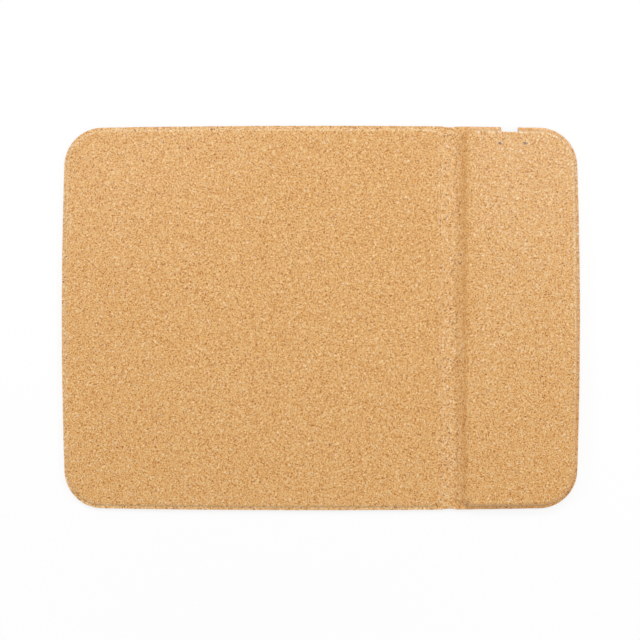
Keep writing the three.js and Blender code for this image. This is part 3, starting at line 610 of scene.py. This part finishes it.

# %% [markdown]
# ## Pressed cork: where it is paler, and painted highlight and sheen
#
# Pressing and stretching leave cork paler and less brown: on the hard pressed rim and fold, and on the climb
# to the mouse pad. The rest is painted light. A painted highlight runs along the upper shoulder of the
# charger, growing from none at the front to most at the back, with none at the fold. A painted sheen makes
# the climb to the mouse pad paler towards the back. Each mark is a product of fades along the three axes, so
# it follows the form of the sheet, and it lifts blue most and red least. The specks of bark go on top and
# stay dark.

# %% Mark where the cork is paler
# Each mark: how far it lifts red, green and blue, then its fades. A fade has an axis, the two places in
# millimetres between which it changes, and its strength before and after them.
# The painted highlight and the painted sheen grow from FRONT_Y to BACK_Y, as lamps behind the mat would light
# them.
FRONT_Y, BACK_Y = 25.0 - MAT_D / 2, MAT_D / 2 - 55.0  # the marks grow from one to the other
PALENESS_AND_PAINTED_LIGHT = {
    "pressed": (
        (0.04, 0.1, 0.26),
        [
            ("Z", RIM_TOP + 0.4, PAD_TOP - 0.05, 1.0, 0.0),
            ("X", CHARGER_CREASE - 1.4, FOLD_RIGHT + 0.5, 1.0, 0.0),
        ],
    ),
    # Painted highlight: the charger's upper shoulder is lighter at the back and the right, and not at all at
    # the front or at the fold wall.
    "painted_shoulder_highlight": (
        (0.08, 0.24, 0.72),
        [
            ("Z", CHARGER_TOP - 0.9, CHARGER_TOP - 0.4, 0.45, 1.0),
            ("Z", CHARGER_TOP - 0.05, CHARGER_TOP - 0.005, 1.0, 0.15),
            ("X", FOLD_RIGHT + 6.5, FOLD_RIGHT + 11.5, 0.0, 1.0),
            ("Y", FRONT_Y, BACK_Y, 0.0, 1.6),
        ],
    ),
    # Partly real, partly painted: stretching leaves the climb to the mouse pad paler, and a painted sheen
    # makes it paler still towards the back.
    "stretched_and_painted_sheen": (
        (0.03, 0.1, 0.26),
        [
            ("Z", RIM_TOP + 0.02, RIM_TOP + 0.3, 0.0, 1.0),
            ("Z", PAD_TOP - 0.12, PAD_TOP - 0.002, 1.0, 0.0),
            ("X", FOLD_LEFT - 6.3, FOLD_LEFT + 3.7, 1.0, 0.0),
            ("Y", FRONT_Y, BACK_Y, 1.0, 2.3),
        ],
    ),
}


print("pale marks:", ", ".join(PALENESS_AND_PAINTED_LIGHT))

# %% [markdown]
# ## Pressed cork: lifting the marks
#
# The fades of a mark multiply, and the marks add up to a gain for red, green and blue. A pale colour could
# be mixed in instead, but that would wash out the grain, which a gain only makes lighter.

# %% Lift the marks
# One gain carries both the paler pressed cork and the painted highlight and sheen.
def paler_and_painted_light(tree, place, colour):
    where = add(tree, "SeparateXYZ", {0: place}).outputs
    gain = (1.0, 1.0, 1.0)
    for lift, fades in PALENESS_AND_PAINTED_LIGHT.values():
        mark = 1.0
        for axis, start, end, before, after in fades:
            ends = {1: start * MM, 2: end * MM, 3: before, 4: after}
            fade = add(tree, "MapRange", {"Value": where[axis], **ends}).outputs[0]
            mark = add(tree, "Math", {0: mark, 1: fade}, operation="MULTIPLY").outputs[0]
        gain = add(tree, "VectorMath", {0: mark, 1: lift, 2: gain}, operation="MULTIPLY_ADD").outputs[0]
    return add(tree, "VectorMath", {0: colour, 1: gain}, operation="MULTIPLY").outputs[0]


print("fades in the marks:", sum(len(fades) for _, fades in PALENESS_AND_PAINTED_LIGHT.values()))

# %% [markdown]
# ## Pressed cork: put together
#
# The sliced face is matt, with fine pits along the seams of the crumbs, and a thin satin lacquer keeps dirt
# out. The lacquer is a weak coat on the shader, which lays a soft veil over the cork where it mirrors a
# lamp. The pits are far too shallow to model, so they are bump.

# %% Mix the cork
def pressed_cork():
    # Crumbled browns with pale and dark specks; the satin lacquer softens them where it catches the light
    made, tree, shader, place = finish_named("pressed_cork")
    torn = torn_place(tree, place)
    lots, from_middle = sorted_crumbs(tree, torn)
    grain = streaked_grain(tree, torn, lots)
    colour = crumb_colour(tree, lots, from_middle, grain)
    colour = paler_and_painted_light(tree, place, colour)
    colour = with_bark(tree, lots, from_middle, colour)
    tree.links.new(colour, shader.inputs["Base Color"])

    crumb_scale = per_mm(CRUMB_SIZES["crumb"])
    seams = add(tree, "TexVoronoi", {"Vector": torn, "Scale": crumb_scale}, feature="DISTANCE_TO_EDGE")
    pits = add(tree, "MapRange", {"Value": seams.outputs["Distance"], 1: 0.0, 2: 0.12, 3: 0.0, 4: 0.6})
    relief = add(tree, "Math", {0: grain, 1: 0.8, 2: pits.outputs[0]}, operation="MULTIPLY_ADD")
    bump = add(tree, "Bump", {"Height": relief.outputs[0], "Strength": 0.5, "Distance": 0.1 * MM})
    tree.links.new(bump.outputs[0], shader.inputs["Normal"])
    rough = add(tree, "MapRange", {"Value": grain, 1: 0.3, 2: 0.7, 3: 0.72, 4: 0.6})
    tree.links.new(rough.outputs[0], shader.inputs["Roughness"])
    shader.inputs["IOR"].default_value = 1.45
    shader.inputs["Coat Weight"].default_value = 0.4
    shader.inputs["Coat Roughness"].default_value = 0.25
    return made


cork = pressed_cork()
print("cork nodes:", len(cork.node_tree.nodes))

# %% [markdown]
# ## The non-slip sheet
#
# The underside is soft natural rubber, rolled into a thin sheet between a smooth and a stippled roller. It is
# charcoal grey and dull, with shallow dimples and a dusting of paler wear. Thousands of modelled dimples
# would be a heavy mesh for so little depth, so they are bump, with painted shade darkening the middle of each
# dimple.

# %% Roll the rubber
DIMPLE = 2.4  # real ones are about 0.8 mm apart, and are drawn three times as coarse so that they show


def rolled_rubber():
    # Dull and dark: the dimples break up every highlight, and dust lightens it in soft patches
    made, tree, shader, place = finish_named("rolled_rubber")
    dust = add(tree, "TexNoise", {"Vector": place, "Scale": per_mm(9.0), "Detail": 5.0, "Roughness": 0.6})
    greys = add(tree, "ValToRGB", {"Fac": dust.outputs["Fac"]}, stops=[(0.35, "2C2B2A"), (0.7, "3F3D3B")])
    dimples = add(tree, "TexVoronoi", {"Vector": place, "Scale": per_mm(DIMPLE)})
    depth = dimples.outputs["Distance"]
    # Painted shade: the colour darkens towards the middle of each dimple.
    shadow = add(tree, "MapRange", {"Value": depth, 1: 0.1, 2: 0.6, 3: 0.6, 4: 1.2})
    shaded = {0: greys.outputs["Color"], "Scale": shadow.outputs[0]}
    stippled = add(tree, "VectorMath", shaded, operation="SCALE")
    tree.links.new(stippled.outputs[0], shader.inputs["Base Color"])
    bump = add(tree, "Bump", {"Height": depth, "Strength": 0.6, "Distance": 0.3 * MM})
    tree.links.new(bump.outputs[0], shader.inputs["Normal"])
    worn = add(tree, "MapRange", {"Value": dust.outputs["Fac"], 1: 0.3, 2: 0.7, 3: 0.72, 4: 0.88})
    tree.links.new(worn.outputs[0], shader.inputs["Roughness"])
    shader.inputs["IOR"].default_value = 1.52
    return made


rubber = rolled_rubber()
print("rubber nodes:", len(rubber.node_tree.nodes))

# %% [markdown]
# ## The case and the core
#
# The case halves are ABS, moulded in a spark-eroded tool that leaves an even fine grain. The core of the
# mouse pad is grey board, pressed from recycled fibres. Grain and fibres could each have patterns for
# colour, gloss and relief, but both parts are hidden in the closed mat, so one pattern gives tone and bump.

# %% Mould the case, press the core
def moulded_abs():
    # The spark grain spreads the light, so the black looks soft; real grains of 0.1 mm are drawn coarser
    made, tree, shader, place = finish_named("moulded_abs")
    grain = add(tree, "TexNoise", {"Vector": place, "Scale": per_mm(0.35), "Detail": 3.0})
    black = add(tree, "ValToRGB", {"Fac": grain.outputs["Fac"]}, stops=[(0.3, "17181A"), (0.75, "232528")])
    tree.links.new(black.outputs["Color"], shader.inputs["Base Color"])
    bump = add(tree, "Bump", {"Height": grain.outputs["Fac"], "Strength": 0.4, "Distance": 0.03 * MM})
    tree.links.new(bump.outputs[0], shader.inputs["Normal"])
    shader.inputs["Roughness"].default_value = 0.55
    shader.inputs["IOR"].default_value = 1.54
    return made


def pressed_grey_board():
    # Short fibres lie flat in a dull grey, darker and lighter from the mixed paper in it
    made, tree, shader, place = finish_named("pressed_grey_board")
    lying = add(tree, "Mapping", {"Vector": place, "Scale": (0.3, 1.0, 3.0)})
    fibres = add(tree, "TexNoise", {"Vector": lying.outputs[0], "Scale": per_mm(0.6), "Detail": 6.0})
    tones = [(0.3, "7F7B74"), (0.55, "9A958C"), (0.8, "B5B0A6")]
    greys = add(tree, "ValToRGB", {"Fac": fibres.outputs["Fac"]}, stops=tones)
    tree.links.new(greys.outputs["Color"], shader.inputs["Base Color"])
    bump = add(tree, "Bump", {"Height": fibres.outputs["Fac"], "Strength": 0.4, "Distance": 0.05 * MM})
    tree.links.new(bump.outputs[0], shader.inputs["Normal"])
    shader.inputs["Roughness"].default_value = 0.9
    return made


abs_plastic, core_board = moulded_abs(), pressed_grey_board()
print("case and core finishes:", abs_plastic.name, core_board.name)

# %% [markdown]
# ## The driver board
#
# The board is glass-epoxy under a green solder mask, which is printed on and cured. The weave of the glass
# cloth just shows through it. Threads under a clear film could be modelled, but two wave patterns, one
# across and one along, multiply into the same faint check.

# %% Print the solder mask
WAVE_TURN = 20  # radians that a wave pattern turns in one unit of its scale
BAND_SCALE = per_mm(0.5) / WAVE_TURN  # one radian in 0.5 mm, so a band every 3.1 mm


def printed_solder_mask():
    # A smooth green film with a low shine; glass cloth shows through it as a faint check, drawn with bands
    # of 3.1 mm, which is about six times as coarse as real cloth
    made, tree, shader, place = finish_named("printed_solder_mask")
    cloth = {"Vector": place, "Scale": BAND_SCALE, "Distortion": 0.6}
    across = add(tree, "TexWave", cloth)
    along = add(tree, "TexWave", cloth, bands_direction="Y")
    weave = add(tree, "Math", {0: across.outputs["Fac"], 1: along.outputs["Fac"]}, operation="MULTIPLY")
    green = add(tree, "ValToRGB", {"Fac": weave.outputs[0]}, stops=[(0.1, "0E4A2E"), (0.9, "15603C")])
    tree.links.new(green.outputs["Color"], shader.inputs["Base Color"])
    shader.inputs["Roughness"].default_value = 0.35
    shader.inputs["IOR"].default_value = 1.55
    return made


mask_green = printed_solder_mask()
print("board finish:", mask_green.name)

# %% [markdown]
# ## The coil
#
# The coil is copper wire under a thin clear enamel, which tints it redder and gives it a wet gloss. The
# enamel could be a skin of its own, but a coat on a metal shader gives the same look.

# %% Enamel the copper
def enamelled_copper():
    # Bright red metal with a wet gloss on top; the tone drifts along the drawn wire
    made, tree, shader, place = finish_named("enamelled_copper")
    drawn = add(tree, "TexNoise", {"Vector": place, "Scale": per_mm(1.5), "Detail": 3.0})
    red = add(tree, "ValToRGB", {"Fac": drawn.outputs["Fac"]}, stops=[(0.3, "A8522A"), (0.7, "C77242")])
    tree.links.new(red.outputs["Color"], shader.inputs["Base Color"])
    shader.inputs["Metallic"].default_value = 1.0
    shader.inputs["Roughness"].default_value = 0.28
    shader.inputs["Coat Weight"].default_value = 0.6
    shader.inputs["Coat Roughness"].default_value = 0.12
    return made


copper = enamelled_copper()
print("coil finish:", copper.name)

# %% [markdown]
# ## The shield and its tape
#
# Under the coil lies a plate of sintered ferrite, almost black and slightly speckled, held by amber
# polyimide tape. Grit and wrinkles could be modelled, but at this size only their highlights tell, so a
# cell pattern and a slow noise give them as bump.

# %% Fire the ferrite, lay the tape
def sintered_ferrite():
    # Nearly black with a dull sparkle; fired grit of under 0.1 mm is drawn at 0.4 mm so that it shows
    made, tree, shader, place = finish_named("sintered_ferrite")
    grit = add(tree, "TexVoronoi", {"Vector": place, "Scale": per_mm(0.4)})
    dark = add(tree, "ValToRGB", {"Fac": grit.outputs["Distance"]}, stops=[(0.1, "2E2E31"), (0.8, "3F3F43")])
    tree.links.new(dark.outputs["Color"], shader.inputs["Base Color"])
    bump = add(tree, "Bump", {"Height": grit.outputs["Distance"], "Strength": 0.3, "Distance": 0.03 * MM})
    tree.links.new(bump.outputs[0], shader.inputs["Normal"])
    shader.inputs["Roughness"].default_value = 0.5
    return made


def cast_polyimide_tape():
    # A glossy amber film whose slight wrinkles bend the highlights
    made, tree, shader, place = finish_named("cast_polyimide_tape")
    wrinkle = add(tree, "TexNoise", {"Vector": place, "Scale": per_mm(6.0), "Detail": 2.0})
    amber = add(tree, "ValToRGB", {"Fac": wrinkle.outputs["Fac"]}, stops=[(0.3, "A8641B"), (0.7, "C57F2A")])
    tree.links.new(amber.outputs["Color"], shader.inputs["Base Color"])
    bump = add(tree, "Bump", {"Height": wrinkle.outputs["Fac"], "Strength": 0.3, "Distance": 0.1 * MM})
    tree.links.new(bump.outputs[0], shader.inputs["Normal"])
    shader.inputs["Roughness"].default_value = 0.25
    shader.inputs["IOR"].default_value = 1.7
    return made


ferrite, tape = sintered_ferrite(), cast_polyimide_tape()
print("shield finishes:", ferrite.name, tape.name)

# %% [markdown]
# ## The port
#
# The port's shell is stamped stainless steel with fine lines from drawing. Its tongue is black glass-filled
# nylon with gold-plated contacts along it. Each contact could be a piece of its own, but they lie flush, so
# a row of bands that turn from plastic to metal does for both faces.

# %% Finish the port
def stamped_steel():
    # Bright metal with soft streaks in the direction of drawing; they are drawn coarser than real ones
    made, tree, shader, place = finish_named("stamped_steel")
    drawn = add(tree, "Mapping", {"Vector": place, "Scale": (1.0, 0.06, 1.0)})
    lines = add(tree, "TexNoise", {"Vector": drawn.outputs[0], "Scale": per_mm(0.12), "Detail": 2.0})
    bright = add(tree, "ValToRGB", {"Fac": lines.outputs["Fac"]}, stops=[(0.3, "B9BABB"), (0.7, "D6D7D8")])
    tree.links.new(bright.outputs["Color"], shader.inputs["Base Color"])
    worn = add(tree, "MapRange", {"Value": lines.outputs["Fac"], 1: 0.3, 2: 0.7, 3: 0.24, 4: 0.36})
    tree.links.new(worn.outputs[0], shader.inputs["Roughness"])
    shader.inputs["Metallic"].default_value = 1.0
    return made


def moulded_nylon_plated_contacts():
    # Dark satin plastic with bright gold bands, drawn every 3.1 mm so that they show; real ones are 0.5 mm
    made, tree, shader, place = finish_named("moulded_nylon_plated_contacts")
    row = {"Vector": place, "Scale": BAND_SCALE}
    contacts = add(tree, "TexWave", row, bands_direction="X")
    gold = add(tree, "Math", {0: contacts.outputs["Fac"], 1: 0.6}, operation="GREATER_THAN").outputs[0]
    both = {0: gold, 6: hex_colour("1B1B1C"), 7: hex_colour("D2A24A")}
    colour = add(tree, "Mix", both, data_type="RGBA")
    tree.links.new(colour.outputs[2], shader.inputs["Base Color"])
    tree.links.new(gold, shader.inputs["Metallic"])
    shader.inputs["Roughness"].default_value = 0.35
    return made


steel, tongue_finish = stamped_steel(), moulded_nylon_plated_contacts()
print("port finishes:", steel.name, tongue_finish.name)

# %% [markdown]
# ## The chips and the capacitors
#
# Chips are moulded epoxy. Capacitors are tan ceramic, dipped in tin at both ends. Each end could be a solid
# of its own, but the share of the way along the part says where the tin starts, so one finish does.

# %% Finish the chips and the capacitors
def moulded_epoxy():
    # Flat black with a faint grey speckle; filler of a few hundredths of a millimetre is drawn coarser
    made, tree, shader, place = finish_named("moulded_epoxy")
    filler = add(tree, "TexNoise", {"Vector": place, "Scale": per_mm(0.15), "Detail": 3.0})
    black = add(tree, "ValToRGB", {"Fac": filler.outputs["Fac"]}, stops=[(0.3, "1D1D1E"), (0.7, "2A2A2B")])
    tree.links.new(black.outputs["Color"], shader.inputs["Base Color"])
    shader.inputs["Roughness"].default_value = 0.6
    return made


TIN_FROM = 0.36  # as a share of the part's length, from its middle


def tinned_ceramic():
    # A tan body, lightly mottled from firing, between two bright ends
    made, tree, shader, place = finish_named("tinned_ceramic")
    share = add(tree, "SeparateXYZ", {0: add(tree, "TexCoord").outputs["Generated"]})
    from_middle = add(tree, "Math", {0: share.outputs["X"], 1: 0.5}, operation="SUBTRACT")
    far = add(tree, "Math", {0: from_middle.outputs[0]}, operation="ABSOLUTE")
    tin = add(tree, "Math", {0: far.outputs[0], 1: TIN_FROM}, operation="GREATER_THAN").outputs[0]
    mottle = add(tree, "TexNoise", {"Vector": place, "Scale": per_mm(0.4), "Detail": 2.0})
    clay = add(tree, "ValToRGB", {"Fac": mottle.outputs["Fac"]}, stops=[(0.3, "8F6B4B"), (0.7, "A88260")])
    colour = add(tree, "Mix", {0: tin, 6: clay.outputs["Color"], 7: hex_colour("C9CACB")}, data_type="RGBA")
    tree.links.new(colour.outputs[2], shader.inputs["Base Color"])
    tree.links.new(tin, shader.inputs["Metallic"])
    shader.inputs["Roughness"].default_value = 0.38
    return made


epoxy, ceramic = moulded_epoxy(), tinned_ceramic()
print("chip and capacitor finishes:", epoxy.name, ceramic.name)

# %% [markdown]
# ## The two lights
#
# Each light is a white box with yellow phosphor cast into the middle of its top. Above it stands a pin of
# smoky acrylic, which shows as a small grey dot in the cork. The phosphor could be a disc of its own, but
# the distance from the middle of the top draws it without one.

# %% Finish the lights
def moulded_smoky_acrylic():
    # Cloudy grey with a soft shine, and just clear enough to pass the light below
    made, tree, shader, place = finish_named("moulded_smoky_acrylic")
    haze = add(tree, "TexNoise", {"Vector": place, "Scale": per_mm(0.5), "Detail": 1.0})
    smoke = add(tree, "ValToRGB", {"Fac": haze.outputs["Fac"]}, stops=[(0.3, "84787A"), (0.7, "9A8E90")])
    tree.links.new(smoke.outputs["Color"], shader.inputs["Base Color"])
    shader.inputs["Roughness"].default_value = 0.25
    shader.inputs["IOR"].default_value = 1.49
    shader.inputs["Transmission Weight"].default_value = 0.2
    return made


def cast_phosphor_in_white():
    # A round yellow pool in a white frame
    made, tree, shader, place = finish_named("cast_phosphor_in_white")
    share = add(tree, "TexCoord").outputs["Generated"]
    away = add(tree, "VectorMath", {0: share, 1: (0.5, 0.5, 1.0)}, operation="DISTANCE")
    glaze = add(tree, "ValToRGB", {"Fac": away.outputs["Value"]}, stops=[(0.32, "E8C95A"), (0.4, "EDEDEA")])
    tree.links.new(glaze.outputs["Color"], shader.inputs["Base Color"])
    shader.inputs["Roughness"].default_value = 0.4
    return made


acrylic, phosphor = moulded_smoky_acrylic(), cast_phosphor_in_white()
print("light finishes:", acrylic.name, phosphor.name)

# %% [markdown]
# ## Who wears what, and what moves with what
#
# The made pieces stand for the plain solids of the same sheets. Those of the mouse pad and the charger ride
# on the same bodies; the two halves of the fold are attached to no body, and only have their place baked into
# their meshes. They could be cut at the crease, but a real sheet runs on through it, so each half runs on
# across its crease.

# %% Dress and attach the sheets
sheets = [
    (pad_cork, cork, "cork", "pad_cork_top"),
    (charger_cork, cork, "cork", "charger_cork_top"),
    (left_cork, cork, "cork", "fold_cork_strip"),
    (right_cork, cork, "cork", "fold_cork_strip"),
    (pad_base, rubber, "base", "pad_base_sheet"),
    (charger_base, rubber, "base", "charger_base_sheet"),
    (left_base, rubber, "base", "fold_base_strip"),
    (right_base, rubber, "base", "fold_base_strip"),
]
for piece, look, slot, solid in sheets:
    piece.data.materials.clear()
    piece.data.materials.append(look)
    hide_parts(solid)

for piece in (pad_cork, pad_base):
    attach(piece, "mouse_pad")
for piece in (charger_cork, charger_base):
    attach(piece, "charger_panel")
bends = [
    (PAD_CREASE, BEND, "mouse_pad", "fold_strip", (left_cork, left_base)),
    (CHARGER_CREASE, WALL_BEND, "fold_strip", "charger_panel", (right_cork, right_base)),
]
for crease, after, held, moved, pieces in bends:
    for piece in pieces:
        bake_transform(piece)
print("sheets:", ", ".join(row[0].name for row in sheets))

# %% [markdown]
# ## The parts inside
#
# The case, the coil, the board and what stands on it keep their measured shapes, which are right already,
# and ride on their bodies by themselves. They only change their plain colour for a finish.

# %% Dress the parts inside
inside = {
    core_board: ["pad_core_board"],
    abs_plastic: ["charger_tray", "charger_lid"],
    ferrite: ["ferrite_plate"],
    tape: ["ferrite_tape"],
    copper: ["charging_coil"],
    mask_green: ["circuit_board"],
    steel: ["usb_c_shell"],
    tongue_finish: ["usb_c_tongue"],
    acrylic: ["light_pipe_left", "light_pipe_right"],
    phosphor: ["led_left", "led_right"],
    epoxy: ["controller_chip", "bridge_chip_left", "bridge_chip_right", "sense_resistor"],
    ceramic: [f"resonance_capacitor_{k}" for k in (1, 2, 3, 4)]
    + ["input_capacitor_left", "input_capacitor_right"],
}
for look, names in inside.items():
    for name in names:
        slots = frame["nodes"][name].data.materials
        slots.clear()
        slots.append(look)
print("parts inside:", sum(len(names) for names in inside.values()))

# %% [markdown]
# ## The table
#
# The mat lies on a white sweep that runs on out of sight. Matt paper would render grey at a plain level of
# light, so to the eye, straight or by way of a reflection, most of the floor is pure white. Near the mat a
# quarter of it stays paper, which keeps the soft shadow. To the light it is plain pale paper all over.

# %% Set the table
FLOOR_REACH, FLOOR_Z = 6.0, -0.0001
PAPER, WHITE = (0.8, 0.8, 0.8, 1.0), (1.0, 1.0, 1.0, 1.0)
SHADOW_FADES = (0.15, 0.45)  # metres from the middle of the mat
GLOW_NEAR = 0.75  # share of plain white next to the mat


def seen_by_eye(tree):
    """One for a ray from the camera, straight or by way of gloss or clear plastic, and nought for light."""
    path = add(tree, "LightPath").outputs
    bent = {0: path["Is Glossy Ray"], 1: path["Is Transmission Ray"]}
    mirrored = add(tree, "Math", bent, operation="MAXIMUM").outputs[0]
    return add(tree, "Math", {0: path["Is Camera Ray"], 1: mirrored}, operation="MAXIMUM").outputs[0]


def white_sweep():
    made, tree, shader, place = finish_named("white_sweep")
    tree.nodes.remove(shader)
    seen = seen_by_eye(tree)
    tone = add(tree, "MixRGB", {0: seen, 1: PAPER, 2: WHITE})
    paper = add(tree, "BsdfDiffuse", {"Color": tone.outputs[0]})
    glow = add(tree, "Emission", {"Color": WHITE, "Strength": 1.0})
    away = add(tree, "VectorMath", {0: place}, operation="LENGTH").outputs["Value"]
    near, far = SHADOW_FADES
    clear = add(tree, "MapRange", {"Value": away, 1: near, 2: far, 3: GLOW_NEAR, 4: 1.0})
    part = add(tree, "Math", {0: seen, 1: clear.outputs[0]}, operation="MULTIPLY")
    mixed = add(tree, "MixShader", {0: part.outputs[0], 1: paper.outputs[0], 2: glow.outputs[0]})
    tree.links.new(mixed.outputs[0], tree.nodes["Material Output"].inputs["Surface"])
    return made


floor_mesh = bpy.data.meshes.new("floor")
floor_corners = [(x * FLOOR_REACH, y * FLOOR_REACH, FLOOR_Z) for x, y in ((-1, -1), (1, -1), (1, 1), (-1, 1))]
floor_mesh.from_pydata(floor_corners, [], [(0, 1, 2, 3)])
floor = bpy.data.objects.new("floor", floor_mesh)
floor.data.materials.append(white_sweep())
bpy.context.collection.objects.link(floor)
print("floor:", 2 * FLOOR_REACH, "m square")

# %% [markdown]
# ## The sky
#
# Most of the light comes from all round, as in a white tent, and slightly more of it from above. A picture
# of a studio could give that, but a plain ramp from the horizon to the top does it with two numbers. To the
# eye the sky is pure white, like the floor.

# %% Light the sky
SKY_LOW, SKY_HIGH, SKY_SEEN = 0.445, 0.635, 1.0

sky = bpy.data.worlds.new("white_sky")
sky.use_nodes = True
bpy.context.scene.world = sky
sky_tree = sky.node_tree
backdrop = sky_tree.nodes["Background"]
ray = add(sky_tree, "SeparateXYZ", {0: add(sky_tree, "TexCoord").outputs["Generated"]})
dome = add(sky_tree, "MapRange", {"Value": ray.outputs["Z"], 1: 0.0, 2: 1.0, 3: SKY_LOW, 4: SKY_HIGH})
level = add(sky_tree, "Mix", {"Factor": seen_by_eye(sky_tree), 2: dome.outputs[0], 3: SKY_SEEN})
backdrop.inputs["Color"].default_value = WHITE
sky_tree.links.new(level.outputs[0], backdrop.inputs["Strength"])
print("sky:", SKY_LOW, "at the horizon,", SKY_HIGH, "overhead")

# %% [markdown]
# ## The lamps
#
# Soft lamps from the back and the sides give the steps their light and dark sides, and with the sky they
# light a level surface by about one, so that colours come out as noted. Two small lamps hang high behind
# the back edge, and the lacquer mirrors them to the eye as a faint veil over the back of the mat. One
# brighter lamp would do that too, but it would bleach the cork.

# %% Hang the lamps
# Each lamp: its place in metres, its width and depth in metres, and its power in watts
LAMPS = {
    "back_lamp": ((-0.15, 0.9, 0.9), 1.0, 0.2, 4.5),
    "top_lamp": ((0.28, 0.23, 0.9), 0.2, 0.1, 0.42),
    "far_lamp": ((-0.2, 0.24, 0.9), 0.4, 0.1, 0.5),
    "left_lamp": ((-1.0, 0.2, 0.6), 0.9, 0.12, 1.7),
    "right_lamp": ((0.95, 0.1, 0.6), 0.7, 0.1, 2.4),
}
for name, (place, width, depth, watts) in LAMPS.items():
    light = bpy.data.lights.new(name, "AREA")
    light.shape, light.size, light.size_y, light.energy = "RECTANGLE", width, depth, watts
    lamp = bpy.data.objects.new(name, light)
    lamp.location = place
    lamp.rotation_euler = (-Vector(place)).to_track_quat("-Z", "Y").to_euler()
    bpy.context.collection.objects.link(lamp)
print("lamps:", ", ".join(LAMPS), "with", round(sum(row[3] for row in LAMPS.values()), 2), "W in all")

# %% [markdown]
# ## The camera
#
# The photograph looks straight down on the mat. Its width in pixels and its real width give the height of
# the camera for a lens of that length, so the mat fills the same part of the picture. A longer lens further
# up would do as well, but would show even less of the steps' sides.

# %% Hang the camera straight above
PHOTO_PX, MAT_PX = 640, 518.2  # sides of the photograph, and width of the mat in it
LENS, SENSOR = 75.0, 36.0
AIM_X, AIM_Y = -0.5, -1.2  # the point of the mat in the middle of the picture

camera = bpy.data.objects.new("camera", bpy.data.cameras.new("camera"))
camera.data.lens, camera.data.sensor_width = LENS, SENSOR
height = PHOTO_PX * LENS / SENSOR * MAT_W / MAT_PX
camera.location = Vector((AIM_X, AIM_Y, height + RIM_TOP)) * MM
bpy.context.collection.objects.link(camera)
bpy.context.scene.camera = camera
bpy.context.scene.view_settings.view_transform = "Standard"
print("camera height:", round(camera.location.z, 3), "m")
